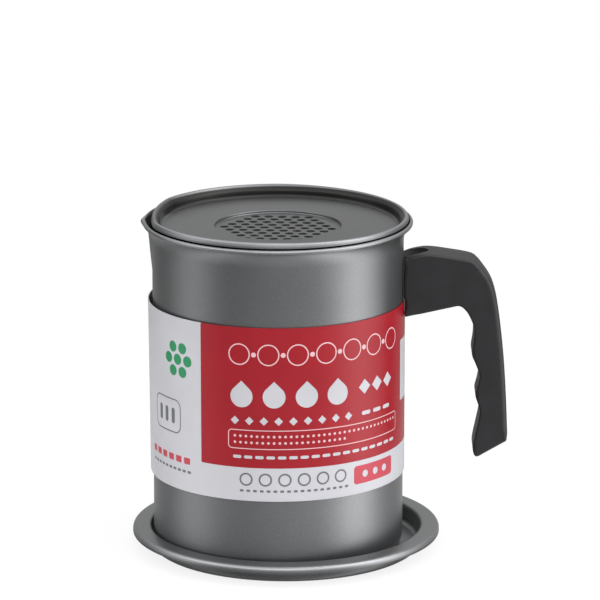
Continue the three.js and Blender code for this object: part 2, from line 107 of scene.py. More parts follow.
# The grip's outline: each point is a share of the reach and a share of the drop
ROOT_TOP_SHARES = [(0, 0.026), (0.07, 0.01), (0.198, 0), (0.42, 0.013), (0.633, 0.033)]
SPINE_SHARES = [
    (0.713, 0.062), (0.813, 0.13), (0.866, 0.194), (0.906, 0.292), (0.953, 0.488), (0.982, 0.685),
    (1, 0.88),
]
END_SHARES = [(0.99, 0.913), (0.712, 0.989), (0.684, 0.99)]
FINGER_SHARES = [
    (0.668, 0.982), (0.656, 0.962), (0.655, 0.935), (0.672, 0.893), (0.698, 0.836), (0.721, 0.774),
    (0.701, 0.729), (0.676, 0.687), (0.701, 0.639), (0.714, 0.588), (0.676, 0.535), (0.638, 0.488),
    (0.655, 0.425), (0.658, 0.375), (0.646, 0.34), (0.605, 0.296), (0.57, 0.272), (0.53, 0.255),
]
ROOT_FOOT_SHARES = [(0.5, 0.2515), (0, 0.304)]

# The print on the sleeve, in millimetres: u runs along the card from the middle of the front,
# and v up from its foot. Each row has a shape, its colour, how many there are and their pitch,
# the first one's centre, half its width, half its height, its corner radius and its line's width.
PRINT_ROWS = [
    ("block", "red", 1, 0, 36.6, 46.9, 72.3, 31.8, 0.8, 0),
    ("block", "white", 1, 0, 88.5, 48.8, 16, 13.9, 0.8, 0),
    ("line", "blush", 7, 13, -17, 66.5, 4.6, 4.6, 4.6, 0.55),
    ("block", "blush", 6, 13, -10.5, 66.5, 1.1, 1.1, 1.1, 0),
    ("drop", "white", 4, 14.5, -16, 47.5, 5, 5, 5, 0),
    ("diamond", "white", 3, 8, 42, 48.5, 3.4, 3.4, 0, 0),
    ("diamond", "white", 9, 6.5, -19, 36.5, 1.9, 1.9, 0, 0),
    ("block", "white", 3, 7, 43, 36.5, 2.6, 0.9, 0.9, 0),
    ("line", "blush", 1, 0, 22, 28, 44, 4.2, 1.6, 0.4),
    ("block", "blush", 34, 2.5, -19, 29.5, 0.6, 0.6, 0.6, 0),
    ("block", "blush", 21, 2.5, -19, 26.6, 0.6, 0.6, 0.6, 0),
    ("block", "white", 17, 5, -18, 20, 1.9, 0.7, 0.7, 0),
    ("line", "grey", 6, 8.6, -14, 9.8, 2.6, 2.6, 2.6, 0.8),
    ("block", "grey", 17, 3, -16, 4.6, 0.9, 0.55, 0.5, 0),
    ("block", "rose", 1, 0, 49, 8.6, 13, 4.2, 1.6, 0),
    ("block", "white", 3, 6.5, 42.5, 8.6, 1.6, 1.6, 1.6, 0),
    ("block", "green", 3, 6.2, -55.7, 59.5, 2.5, 2.5, 2.5, 0),
    ("block", "green", 2, 6.2, -52.6, 64.9, 2.5, 2.5, 2.5, 0),
    ("block", "green", 2, 6.2, -52.6, 54.1, 2.5, 2.5, 2.5, 0),
    ("line", "grey", 1, 0, -58, 33, 10, 7.5, 3.5, 0.6),
    ("block", "grey", 3, 5, -63, 33, 1.2, 3.6, 1.2, 0),
    ("block", "rose", 6, 5.4, -71, 14, 1.9, 1.5, 0.5, 0),
    ("block", "grey", 10, 3.2, -71.5, 9, 1.1, 0.6, 0.5, 0),
    ("line", "grey", 1, 0, 150, 45, 24, 22, 3, 0.5),
    *[("block", "grey", 12, 3.4, 131, middle, 1.2, 0.7, 0.5, 0) for middle in (58, 50, 42)],
    ("block", "grey", 8, 3.4, 131, 34, 1.2, 0.7, 0.5, 0),
]

# Where the coat carries a painted highlight along the rolled edges or painted shade in the crevice
# and inside the strainer, in millimetres: which of the two, how strongly, between which heights,
# between which radii, and the width over which it fades
# On the pot: a painted highlight along the rolled rim, and painted shade, near black, on the bead's
# inside in the crevice under the strainer
POT_ZONES = [
    ("painted_highlight", 0.4, (149.9, 150.8), (59.3, 70), 0.3),
    ("grease", 1.0, (150.6, 152), (50, 58.9), 0.2),
]
# On the strainer: a painted highlight along the bead, and painted shade under the hem in the
# crevice, on the inner wall and, fainter, on the floor
PAN_ZONES = [
    ("painted_highlight", 0.4, (152.3, 154), (56.8, 70), 0.3),
    ("grease", 1.0, (148, 151.2), (56.3, 60), 0.3),
    ("grease", 0.9, (148.8, 152.7), (52.6, 56), 0.6),
    ("grease", 0.3, (146, 148.6), (0, 52.6), 0.6),
]
# On the tray: a painted highlight along the lip
TRAY_ZONES = [("painted_highlight", 0.4, (8, 9.2), (64, 90), 0.4)]

# The studio's glows: tall from floor to ceiling, a band at one height or round, the middle's
# direction in degrees from the camera's side towards the right and up, wide or narrow, the power
# and the brightness
STUDIO_GLOWS = [
    ("tall", (40, 0), True, 2, 0.55),
    ("tall", (78, 0), False, 13, 2.36),
    ("tall", (-84, 0), False, 12, 1.03),
    ("tall", (180, 0), False, 4, 0.38),
    ("band", (0, 40), True, 10, 4),
    ("round", (0, 90), False, 1.5, 0.8),
    ("round", (0, -90), False, 2, 0.15),
]

# How the floor changes outwards, from one distance to another in metres and from one value to
# another: how plain its white is, the shadow in its mirror image, and the glow of that image
FLOOR_WHITE = (0.16, 0.45, 0.84, 1)
FLOOR_SHADOW = (0.075, 0.11, 0.4, 1)
FLOOR_MIRROR = (0.2, 0.5, 0.25, 0)

FRONT_LAMP = ((-0.1, -1.34, 1.13), (0, 0, 0.08), 0.6)  # its place, where it aims, and its width
FARTHEST_SEEN = 20  # metres from the camera


def linear(colour):
    """Linear red, green and blue of an sRGB colour written as a hex string."""
    levels = np.array([int(colour[i : i + 2], 16) for i in (1, 3, 5)]) / 255
    low, high = levels / 12.92, ((levels + 0.055) / 1.055) ** 2.4
    return tuple(float(x) for x in np.where(levels <= 0.04045, low, high))


def length(name, description, millimetres):
    """A size that a user can change, given in millimetres and kept in metres."""
    size = millimetres * MM
    return FloatProperty(
        name=name, description=description, default=size, unit="LENGTH", precision=5
    )


def turn(name, description, degrees):
    """An angle that a user can change, given in degrees and kept in radians."""
    return FloatProperty(
        name=name, description=description, default=math.radians(degrees), subtype="ANGLE"
    )


def tint(name, description, colour):
    """A colour that a user can change, given as an sRGB hex string."""
    return FloatVectorProperty(
        name=name, description=description, default=linear(colour), subtype="COLOR", min=0, max=1
    )


class PotSizes(bpy.types.PropertyGroup):
    radius: length("Radius", "Outer radius of the pot's wall", 56)
    wall: length("Wall", "Thickness of the pot's sheet", 0.8)
    foot_radius: length("Foot rounding", "Outer rounding between wall and base", 6)
    recess: length("Base recess", "How far the middle of the base is pressed up", 0.4)
    recess_radius: length("Recess radius", "Radius of the pressed middle of the base", 44)
    rim_radius: length("Rim radius", "Outer radius of the rolled rim", 60.1)
    bead_radius: length("Bead radius", "Section radius of the rolled rim", 1.05)
    bead_fall: length("Bead fall", "From the pot's top down to the rolled rim's", 0.45)
    flare_reach: length("Flare reach", "How far the flare runs out under the rolled rim", 2.5)
    flare_radius: length("Flare radius", "Radius of the hollow of the flare", 12)
    spout_reach: length("Spout reach", "How far the wall would be pushed out at the rim", 2.5)
    spout_lip_height: length("Lip height", "Height under the rim where the push shrinks", 8.5)
    spout_lip_share: FloatProperty(
        name="Lip share", description="Share of the push left at the rim", default=0.42
    )
    spout_length: length("Spout length", "How far the spout runs down the wall", 24)
    spout_rounding: length("Spout rounding", "Half the width of the spout's rounded tip", 1.2)
    spout_azimuth: turn("Spout azimuth", "Direction of the spout", 178.5)
    steps: IntProperty(name="Steps", description="Steps round the pot", default=288)


class StrainerSizes(bpy.types.PropertyGroup):
    radius: length("Radius", "Outer radius of the pan's wall", 54.89)
    wall: length("Wall", "Thickness of the pan's sheet", 0.6)
    depth: length("Depth", "From the top of the rim to the floor", 5.4)
    floor_rounding: length("Floor rounding", "Inner rounding between wall and floor", 1.4)
    side_depth: length("Side depth", "How far the flatter side is cut into the circle", 2.15)
    side_radius: length("Side radius", "Radius of the flatter side", 88)
    corner_radius: length("Corner radius", "Rounding of the flatter side's corners", 14)
    side_azimuth: turn("Side azimuth", "Direction of the flatter side", 175)
    bead_radius: length("Bead radius", "Section radius of the rolled edge", 0.9)
    bead_reach: length("Bead reach", "From the wall out to the bead's middle", 2.1)
    hem_radius: length("Hem radius", "Section radius of the hem under the bead", 0.7)
    hem_reach: length("Hem reach", "From the wall out to the hem's middle", 2.7)
    hem_drop: length("Hem drop", "From the bead's middle down to the hem's", 1.4)
    lean: length("Lean", "How much lower the edge is at the handle's side", 0.85)
    sump_radius: length("Sump radius", "Radius of the sunk middle", 28)
    sump_depth: length("Sump depth", "How far the middle is sunk", 1.5)
    sump_rounding: length("Sump rounding", "Rounding of the sump's edges", 0.6)
    hole_radius: length("Hole radius", "Radius of the strainer's holes", 2)
    hole_pitch: length("Hole pitch", "From one hole to the next", 6)
    hole_rings: IntProperty(name="Rings of holes", description="Rings round the middle", default=4)
    ring_wall: length("Ring wall", "Thickness of the ring's sheet", 0.6)
    ring_lip: length("Ring lip", "How far the ring's lip reaches in", 3.3)
    wire_radius: length("Wire radius", "Radius of the cloth's wires", 0.15)
    wire_pitch: length("Wire pitch", "From one wire to the next", 1.1)


class GripSizes(bpy.types.PropertyGroup):
    root: length("Root", "From the pot's axis to the grip's root", 57.8)
    root_reach: length("Root reach", "How far the root runs in round the bracket", 0.8)
    plate_width: length("Plate width", "Width of the bracket's plate", 14)
    plate_depth: length("Plate depth", "Depth of the pocket for the plate", 0.5)
    width: length("Width", "Width of the grip across", 18)
    edge_rounding: length("Edge rounding", "Rounding of the long edges", 1.1)
    spine_rounding: length("Spine rounding", "Rounding of the outer edges", 2.6)
    corner_softness: length("Corner softness", "How far corners of the outline are eased", 0.5)
    parting_width: length("Parting width", "Width of the groove at the mould's parting", 0.5)
    parting_depth: length("Parting depth", "Depth of the groove at the mould's parting", 0.14)
    scoop_length: length("Scoop length", "From the root to the scoop's end", 9.2)
    scoop_width: length("Scoop width", "Half the scoop's width", 6)
    scoop_depth: length("Scoop depth", "Depth of the scoop at the root", 3.6)
    screw_x: length("Screw place", "From the pot's axis to the screw's", 66.8)
    screw_head: length("Screw head", "Radius of the screw's head", 3.6)
    screw_head_height: length("Screw head height", "Height of the screw's head", 2.4)
    screw_shank: length("Screw shank", "Radius of the screw's shank", 1.8)
    thread_pitch: length("Thread pitch", "Rise of the screw's thread in one turn", 0.8)
    thread_depth: length("Thread depth", "Depth of the screw's thread", 0.35)
    fit: length("Fit", "Clearance round the screw and the tongue", 0.4)
    tongue_width: length("Tongue width", "Width of the bracket's tongue", 12)
    tongue_reach: length("Tongue reach", "From the root to the tongue's end", 16)
    tongue_thickness: length("Tongue thickness", "Thickness of the tongue", 2.4)


class SleeveSizes(bpy.types.PropertyGroup):
    inner_radius: length("Inner radius", "Radius of the sleeve where it lies on the wall", 56.3)
    thickness: length("Thickness", "Thickness of the card", 0.4)
    bulge_top: length("Bulge at the top", "How far the top edge stands off", 1.3)
    bulge_foot: length("Bulge at the foot", "How far the bottom edge stands off", 0.5)
    lap_width: length("Lap width", "Width of the glued lap", 12)
    lap_azimuth: turn("Lap azimuth", "Direction of the glued lap", 100)
    notch_half_width: length("Notch", "Half the width of the notch for the bracket", 7.4)
    notch_drop: length("Notch drop", "Depth of the notch for the bracket", 5.63)
    steps: IntProperty(name="Steps", description="Steps round the sleeve", default=720)


class TraySizes(bpy.types.PropertyGroup):
    well_radius: length("Well radius", "Inner radius of the well", 60.6)
    wall: length("Wall", "Thickness of the tray's sheet", 0.8)
    flange_width: length("Flange width", "From the well to the flange's edge", 8.5)
    flange_fall: length("Flange fall", "How far the flange slopes down", 0.3)
    floor_rounding: length("Floor rounding", "Outer rounding between floor and wall", 3.4)
    edge_rounding: length("Edge rounding", "Inner rounding between well and flange", 0.7)
    lip_radius: length("Lip radius", "Outer rounding of the flange's edge", 2.1)
    lip_drop: length("Lip drop", "Straight part of the edge that turns down", 0.8)
    steps: IntProperty(name="Steps", description="Steps round the tray", default=288)


class Finishes(bpy.types.PropertyGroup):
    coat: tint("Coat", "Grey non-stick coat of the steel", "#777879")
    coat_glint: tint("Coat glint", "Metal flakes in the coat", "#97999C")
    # A painted highlight: the lighter coat colour where the rolled edges catch the light
    painted_highlight: tint("Highlit coat", "Coat rubbed bright along rolled edges", "#A9ABAE")
    # Painted shade: the near-black coat colour in the crevice between strainer and rim and inside
    # the strainer
    grease: tint("Grease", "Baked-on grease in the crevice", "#14120F")
    plated: tint("Plated steel", "Zinc plate of screw, bracket and ring", "#9FA1A3")
    wire: tint("Wire", "Stainless wire", "#B9BABC")
    plastic: tint("Plastic", "Black of the grip", "#151417")
    board: tint("Board", "Bare back of the card", "#CFCBC2")
    white: tint("White", "White of the printed card", "#B3B3B8")
    red: tint("Red", "Red panel of the print", "#8F0A1A")
    rose: tint("Rose", "Lighter red of small printed shapes", "#AC3947")
    blush: tint("Blush", "Fine pale lines on the red panel", "#CDA9AD")
    green: tint("Green", "Green of small printed shapes", "#1D7D4F")
    grey: tint("Grey", "Grey of small printed shapes", "#606266")


class StageSizes(bpy.types.PropertyGroup):
    distance: length("Distance", "From the camera to where it looks", 2224.4)
    elevation: turn("Elevation", "Height of the camera above the horizon", 14.384)
    aim_x: length("Aim to the side", "Where the camera looks, along X", 9.82)
    aim_z: length("Aim height", "Where the camera looks, along Z", 113.74)
    focal: FloatProperty(name="Focal length", description="In millimetres", default=299.0)
    front_power: FloatProperty(
        name="Front", description="Power of the lamp over the camera", default=1.2, unit="POWER"
    )
    room_level: FloatProperty(
        name="Room", description="Brightness of the room all round", default=0.05
    )
    floor_reach: length("Floor", "Half the width of the floor", 600)
    floor: tint("Floor colour", "Colour of the studio floor", "#F2F2F2")


def arc(centre, radius, start, end, steps=8):
    """Points on an arc of a profile: centre + radius (cos, sin) of angles, in degrees, from the
    start to the end."""
    angles = np.radians(np.linspace(start, end, steps + 1))
    return np.asarray(centre) + radius * np.column_stack([np.cos(angles), np.sin(angles)])


def circle_angles(steps):
    """Evenly spaced angles once round, in radians, without the last."""
    return np.arange(steps) * 2 * math.pi / steps


def around(profile, angles):
    """Columns of points: each (radius, height) of the profile is turned to each angle, as
    (r cos a, r sin a, z)."""
    radii, heights = profile[None, :, 0], profile[None, :, 1]
    a = angles[:, None]
    return np.stack([radii * np.cos(a), radii * np.sin(a), heights + 0 * a], -1)


def smoothed(mesh, angle):
    """Shades a mesh smooth but for edges sharper than the angle, in degrees."""
    mesh.shade_smooth()
    mesh.set_sharp_from_angle(angle=math.radians(angle))
    return mesh


def mesh_of(name, points, faces, smooth_angle=35):
    """A mesh of points and faces, shaded smooth but for edges sharper than the angle."""
    mesh = bpy.data.meshes.new(name)
    mesh.from_pydata(points.tolist(), [], faces)
    return smoothed(mesh, smooth_angle)


def quads(count, rows, wrap=False):
    """Faces between neighbouring columns of points, all round. Where a column wraps, they also go
    from its last point to its first."""
    here = np.arange(count)[:, None] * rows
    there = np.roll(here, -1)
    low = np.arange(rows if wrap else rows - 1)[None, :]
    high = (low + 1) % rows
    corners = [here + low, there + low, there + high, here + high]
    return np.stack(corners, -1).reshape(-1, 4).tolist()


def fans(count, rows):
    """Triangles from the columns' first points to one point, and from their last to another. The
    two points come after all the columns."""
    here = np.arange(count) * rows
    there = np.roll(here, -1)
    first, last = np.full(count, count * rows), np.full(count, count * rows + 1)
    foot = np.column_stack([first, there, here])
    head = np.column_stack([here + rows - 1, there + rows - 1, last])
    return foot.tolist() + head.tolist()


def skin(name, columns, polar=False, smooth_angle=35):
    """Quads between neighbouring columns of points, closed all round. Polar columns begin and end
    in one shared point, which becomes a fan, and the others close on themselves."""
    count, rows = columns.shape[:2]
    if not polar:
        return mesh_of(name, columns.reshape(-1, 3), quads(count, rows, True), smooth_angle)
    points = np.vstack([columns[:, 1:-1].reshape(-1, 3), columns[0, :1], columns[0, -1:]])
    return mesh_of(name, points, quads(count, rows - 2) + fans(count, rows - 2), smooth_angle)


def prism(outline, low, high):
    """Points and faces of an upright prism between two heights over a closed outline."""
    count = len(outline)
    points = np.vstack([np.column_stack([outline, np.full(count, z)]) for z in (low, high)])
    here = np.arange(count)
    there = (here + 1) % count
    sides = np.column_stack([here, there, there + count, here + count]).tolist()
    return points, [here[::-1].tolist(), (here + count).tolist(), *sides]


def together(solids):
    """Joins the points and faces of several solids into one list of points and one of faces."""
    starts = np.cumsum([0] + [len(points) for points, _ in solids])
    faces = [
        [corner + int(start) for corner in face]
        for start, (_, solid_faces) in zip(starts, solids)
        for face in solid_faces
    ]
    return np.vstack([points for points, _ in solids]), faces


def block(near, far, half_width, low, high):
    """Points and faces of an upright block that lies evenly on both sides of the X axis."""
    corners = [[near, -half_width], [far, -half_width], [far, half_width], [near, half_width]]
    return prism(np.array(corners), low, high)


def circle(radius, steps=40):
    """A circle's points: radius (cos a, sin a)."""
    a = circle_angles(steps)
    return radius * np.column_stack([np.cos(a), np.sin(a)])


def add_object(name, data):
    """An object with that data, linked into the scene."""
    thing = bpy.data.objects.new(name, data)
    bpy.context.scene.collection.objects.link(thing)
    return thing


def place(mesh, body, slot, material, *stands_for):
    """Puts a mesh in the scene as a piece that rides on a body and stands for CAD nodes."""
    piece = add_object(mesh.name, mesh)
    mesh.materials.append(material)
    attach(piece, body)
    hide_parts(*stands_for)
    return piece


def cut(mesh, solids, smooth_angle=35):
    """The mesh less the solids, by an exact boolean."""
    cutter_mesh = mesh_of("cutter", *together(solids))
    cutter, body = add_object("cutter", cutter_mesh), add_object("body", mesh)
    modifier = body.modifiers.new("cut", "BOOLEAN")
    modifier.object = cutter
    modifier.solver = "EXACT"
    modifier.operation = "DIFFERENCE"
    graph = bpy.context.evaluated_depsgraph_get()
    result = bpy.data.meshes.new_from_object(body.evaluated_get(graph))
    name = mesh.name
    for thing in (cutter, body):
        bpy.data.objects.remove(thing)
    for spent in (mesh, cutter_mesh):
        bpy.data.meshes.remove(spent)
    result.name = name
    return smoothed(result, smooth_angle)


def add_node(tree, kind, inputs, output=0, **settings):
    """Adds a node with its settings, sets or links its inputs, which are named or in order, and
    returns one of its outputs."""
    node = tree.nodes.new("ShaderNode" + kind)
    for key, value in settings.items():
        setattr(node, key, value)
    pairs = inputs.items() if isinstance(inputs, dict) else enumerate(inputs)
    for key, value in pairs:
        if isinstance(value, bpy.types.NodeSocket):
            tree.links.new(value, node.inputs[key])
        else:
            node.inputs[key].default_value = value
    return node.outputs[output] if node.outputs else None


def rgba(colour, level=1.0):
    """A colour times a level, with a fourth value of one."""
    return (*(level * value for value in colour), 1.0)


def grains(where, width, detail=2, roughness=0.5):
    """The inputs of a noise whose grains are that many millimetres wide."""
    scale = 1 / (width * MM)
    return {"Vector": where, "Scale": scale, "Detail": detail, "Roughness": roughness}


def new_material(name):
    """A node material, its tree and the place on the piece that its patterns follow."""
    material = bpy.data.materials.new(name)
    material.use_nodes = True
    tree = material.node_tree
    tree.nodes.clear()
    return material, tree, add_node(tree, "TexCoord", {}, "Object")


def mottled(tree, noise, colour, levels, spread=(0.35, 0.65)):
    """A colour that runs from one level of itself to another while the noise runs over its
    spread, and how far it has run."""
    pattern = add_node(tree, "TexNoise", noise)
    share = add_node(tree, "MapRange", (pattern, *spread))
    low, high = (rgba(colour, level) for level in levels)
    return add_node(tree, "Mix", {0: share, 6: low, 7: high}, 2, data_type="RGBA"), share


def surface(tree, inputs, bump=None):
    """Ends a material in a surface of those inputs. Its bump is a strength, a depth in
    millimetres and a pattern."""
    if bump:
        strength, depth, pattern = bump
        relief = {"Strength": strength, "Distance": depth * MM, "Height": pattern}
        inputs = {**inputs, "Normal": add_node(tree, "Bump", relief)}
    shader = add_node(tree, "BsdfPrincipled", inputs)
    add_node(tree, "OutputMaterial", {"Surface": shader})


def zone_mask(tree, where, heights, radii, soft):
    """One between two heights and two radii, fading to zero over the soft width beyond them."""
    flat = add_node(tree, "VectorMath", (where, (1.0, 1.0, 0.0)), operation="MULTIPLY")
    radius = add_node(tree, "VectorMath", (flat,), 1, operation="LENGTH")
    height = add_node(tree, "SeparateXYZ", (where,), 2)
    mask = 1.0
    for value, (low, high) in ((height, heights), (radius, radii)):
        half, middle = (high - low) / 2 * MM, (high + low) / 2 * MM
        off = add_node(tree, "Math", (value, middle), operation="SUBTRACT")
        off = add_node(tree, "Math", (off,), operation="ABSOLUTE")
        share = add_node(tree, "MapRange", (off, half, half + soft * MM, 1.0, 0.0))
        mask = add_node(tree, "Math", (share, mask), operation="MULTIPLY")
    return mask


def coated_steel(finish, zones):
    """Drawn steel sheet with a sprayed and baked fluororesin coat. The eye sees a satin warm grey
    with fine metal flakes, a soft broad highlight, and slight clouds from spraying. A painted
    highlight lightens it along the rolled edges, and painted shade darkens it to black in the
    crevice between strainer and rim and to a dark film inside the strainer."""
    material, tree, where = new_material("satin fluororesin coat on steel")
    colour, clouds = mottled(tree, grains(where, 34), finish.coat, (0.9, 1))
    grit = add_node(tree, "TexNoise", grains(where, 0.3, 2, 0.6))
    flakes = add_node(tree, "MapRange", (grit, 0.5, 0.75, 0, 0.55))
    layers = [(flakes, "coat_glint")]
    # each zone lays a painted highlight or painted shade over the coat's colour
    for name, strength, heights, radii, soft in zones:
        mask = zone_mask(tree, where, heights, radii, soft)
        layers.append((add_node(tree, "Math", (mask, strength), operation="MULTIPLY"), name))
    for share, name in layers:
        over = rgba(getattr(finish, name))
        colour = add_node(tree, "Mix", {0: share, 6: colour, 7: over}, 2, data_type="RGBA")
    shine = add_node(tree, "MapRange", (clouds, 0, 1, 0.32, 0.36))
    look = {"Base Color": colour, "Metallic": 0.85, "Roughness": shine}
    surface(tree, look, (0.1, 0.03, grit))
    return material


def zinc_plated_steel(finish):
    """Pressed steel with a bright zinc plate. The eye sees a pale, faintly mottled metal."""
    material, tree, where = new_material("zinc-plated pressed steel")
    colour, spangle = mottled(tree, grains(where, 1.6), finish.plated, (0.8, 1), (0.3, 0.7))
    shine = add_node(tree, "MapRange", (spangle, 0, 1, 0.26, 0.38))
    scratch = add_node(tree, "TexNoise", grains(where, 0.25))
    look = {"Base Color": colour, "Metallic": 1.0, "Roughness": shine}
    surface(tree, look, (0.15, 0.02, scratch))
    return material


def stainless_wire(finish):
    """Drawn stainless wire. The eye sees bright metal, slightly tarnished in patches."""
    material, tree, where = new_material("drawn stainless wire")
    colour, tarnish = mottled(tree, grains(where, 3), finish.wire, (0.72, 1))
    shine = add_node(tree, "MapRange", (tarnish, 0, 1, 0.34, 0.24))
    surface(tree, {"Base Color": colour, "Metallic": 1.0, "Roughness": shine})
    return material


def moulded_plastic(finish):
    """Black injection-moulded plastic with a fine spark-eroded grain. The eye sees a matt black
    that greys where it faces the light. The grain is drawn a little coarser than real so that it
    shows."""
    material, tree, where = new_material("black moulded plastic with a fine grain")
    grain = add_node(tree, "TexNoise", grains(where, 0.45, 3, 0.65))
    colour, _ = mottled(tree, grains(where, 11, 3), finish.plastic, (1, 1.5), (0.4, 0.7))
    shine = add_node(tree, "MapRange", (grain, 0.3, 0.7, 0.44, 0.56))
    look = {"Base Color": colour, "Roughness": shine, "Specular IOR Level": 0.48}
    surface(tree, look, (0.35, 0.05, grain))
    return material


def bare_board(finish):
    """The unprinted back and cut edges of card. The eye sees a dull warm grey with fibres."""
    material, tree, where = new_material("bare grey board")
    colour, _ = mottled(tree, grains(where, 0.7, 4, 0.7), finish.board, (0.82, 1))
    surface(tree, {"Base Color": colour, "Roughness": 0.85})
    return material


def shape_mask(tree, u, v, row):
    """Where one row of the print is inked. A block or a line starts from the distance to a box
    with round corners, max(|p| - half + radius, 0) less the radius. A drop is a disc with the
    corner of a square on top, and a diamond is where |u| + |v| is less than its size."""
    shape, _, count, pitch, first, middle, half_u, half_v, radius, line = row
    pitch = pitch or 2 * (half_u + line)
    shift = add_node(tree, "Math", (u, first), operation="SUBTRACT")
    nearest = add_node(tree, "Math", (shift, pitch), operation="DIVIDE")
    nearest = add_node(tree, "Math", (nearest,), operation="ROUND")
    nearest = add_node(tree, "Clamp", (nearest, 0, count - 1))
    step = add_node(tree, "Math", (nearest, pitch), operation="MULTIPLY")
    across = add_node(tree, "Math", (shift, step), operation="SUBTRACT")
    up = add_node(tree, "Math", (v, middle), operation="SUBTRACT")
    far_u, far_v = (add_node(tree, "Math", (off,), operation="ABSOLUTE") for off in (across, up))
    if shape in ("diamond", "drop"):
        both = add_node(tree, "Math", (far_u, far_v), operation="ADD")
        size = half_v * (math.sqrt(2) if shape == "drop" else 1)
        corner = add_node(tree, "Math", (both, size), operation="LESS_THAN")
        if shape == "diamond":
            return corner
        above = add_node(tree, "Math", (up, half_v / math.sqrt(2)), operation="GREATER_THAN")
        corner = add_node(tree, "Math", (corner, above), operation="MULTIPLY")
    past = []
    for far, half in ((far_u, half_u), (far_v, half_v)):
        over = add_node(tree, "Math", (far, half - radius), operation="SUBTRACT")
        past.append(add_node(tree, "Math", (over, 0.0), operation="MAXIMUM"))
    past = add_node(tree, "CombineXYZ", past)
    reach = add_node(tree, "VectorMath", (past,), 1, operation="LENGTH")
    if line:
        return add_node(tree, "Math", (reach, radius, line / 2), operation="COMPARE")
    disc = add_node(tree, "Math", (reach, radius), operation="LESS_THAN")
    if shape == "drop":
        return add_node(tree, "Math", (disc, corner), operation="MAXIMUM")
    return disc


def printed_card(finish):
    """White coated card, printed in flat inks and film-laminated. The eye sees clean flat colours
    under an even semi-gloss, with a faint unevenness of the card."""
    material, tree, where = new_material("printed and laminated card")
    sheet = add_node(tree, "UVMap", {}, uv_map="sheet")
    scaled = add_node(tree, "VectorMath", {0: sheet, 3: 1 / MM}, operation="SCALE")
    u, v = (add_node(tree, "SeparateXYZ", (scaled,), axis) for axis in (0, 1))
    colour = rgba(finish.white)
    for row in PRINT_ROWS:
        inked, ink = shape_mask(tree, u, v, row), rgba(getattr(finish, row[1]))
        colour = add_node(tree, "Mix", {0: inked, 6: colour, 7: ink}, 2, data_type="RGBA")
    cloud = add_node(tree, "TexNoise", grains(where, 26))
    mottle = add_node(tree, "MapRange", (cloud, 0.3, 0.7, 0.93, 1.03))
    colour = add_node(tree, "VectorMath", {0: colour, 3: mottle}, operation="SCALE")
    card = add_node(tree, "TexNoise", grains(where, 1.4, 3))
    shine = add_node(tree, "MapRange", (card, 0.3, 0.7, 0.3, 0.38))
    look = {"Base Color": colour, "Roughness": shine, "Specular IOR Level": 0.35}
    surface(tree, look, (0.12, 0.04, card))
    return material


def pot_angles(sizes):
    """Angles round the pot, four times closer across the spout."""
    half = math.acos(sizes.rim_radius / (sizes.rim_radius + sizes.spout_reach))
    across = max(8, int(sizes.steps * half / math.pi) * 4)
    near = np.linspace(-half, half, across + 1)
    far = np.linspace(half, 2 * math.pi - half, sizes.steps + 1)[1:-1]
    return sizes.spout_azimuth + np.concatenate([near, far])


def spout_radius(columns, angles, sizes, spout_foot):
    """Pushes the wall out to a rounded point: within the half angle whose cosine is
    r / (r + push), the radius is r / cos(half - off), with off the rounded angle from the spout's
    middle. The push fades to nothing at the spout's foot, and to a share at the rim."""
    x, y, z = columns[..., 0], columns[..., 1], columns[..., 2]
    radius = np.hypot(x, y)
    fade = np.clip((z - spout_foot) / sizes.spout_length, 0, 1)
    lip = np.clip(1 - (POT_HIGH.z - z) / sizes.spout_lip_height, 0, 1)
    push = sizes.spout_reach * fade**SPOUT_FADE * (1 - lip * (1 - sizes.spout_lip_share))
    safe = np.maximum(radius, sizes.radius / 2)
    half = np.arccos(safe / (safe + push))
    turned = angles[:, None] - sizes.spout_azimuth
    off = np.hypot(turned, sizes.spout_rounding * fade / sizes.rim_radius)
    grown = np.where(z > spout_foot, 1 / np.cos(np.maximum(0, half - off)), 1.0)
    return np.stack([x * grown, y * grown, z], -1)


def upright(radius, heights):
    """Points of a profile, one over another at the same radius."""
    return np.column_stack([np.full(len(heights), radius), heights])


def pot_mesh(sizes):
    """The pot's profile, carried round the axis: base with a pressed middle, rounded foot, wall,
    a hollow flare and the rolled rim outside, and the same line inside, a wall's width in."""
    base, top = POT_LOW.z, POT_HIGH.z
    wall, foot, bead = sizes.wall, sizes.foot_radius, sizes.bead_radius
    foot_at = np.array([sizes.radius - foot, base + foot])
    bead_at = np.array([sizes.rim_radius - bead, top - sizes.bead_fall - bead])
    lean = math.acos(1 - sizes.flare_reach / sizes.flare_radius)
    flare_end = 180 - math.degrees(lean)
    flare_top = bead_at[1] - FLARE_JOIN * bead
    flare_z = flare_top - sizes.flare_radius * math.sin(lean)
    flare_at = np.array([sizes.radius + sizes.flare_radius, flare_z])
    spout_foot = top - sizes.spout_length
    low_wall = np.linspace(foot_at[1], spout_foot, 8)[1:-1]
    high_wall = np.linspace(spout_foot, flare_at[1], 12)[:-1]
    heights = np.concatenate([low_wall, high_wall])
    recess, pressed = sizes.recess_radius, base + sizes.recess
    profile = np.vstack(
        [
            [[0, pressed], [recess / 2, pressed], [recess, pressed], [recess + RECESS_EDGE, base]],
            arc(foot_at, foot, -90, 0, 12),
            upright(sizes.radius, heights),
            arc(flare_at, sizes.flare_radius, 180, flare_end, 14),
            arc(bead_at, bead, -130, 165, 26),
            arc(flare_at, sizes.flare_radius + wall, flare_end, 180, 14),
            upright(sizes.radius - wall, heights[::-1]),
            arc(foot_at, foot - wall, 0, -90, 10),
            [[recess + RECESS_EDGE, base + wall], [recess, pressed + wall]],
            [[recess / 2, pressed + wall], [0, pressed + wall]],
        ]
    )
    angles = pot_angles(sizes)
    columns = spout_radius(around(profile, angles), angles, sizes, spout_foot)
    return skin("pot_shell", columns, polar=True)


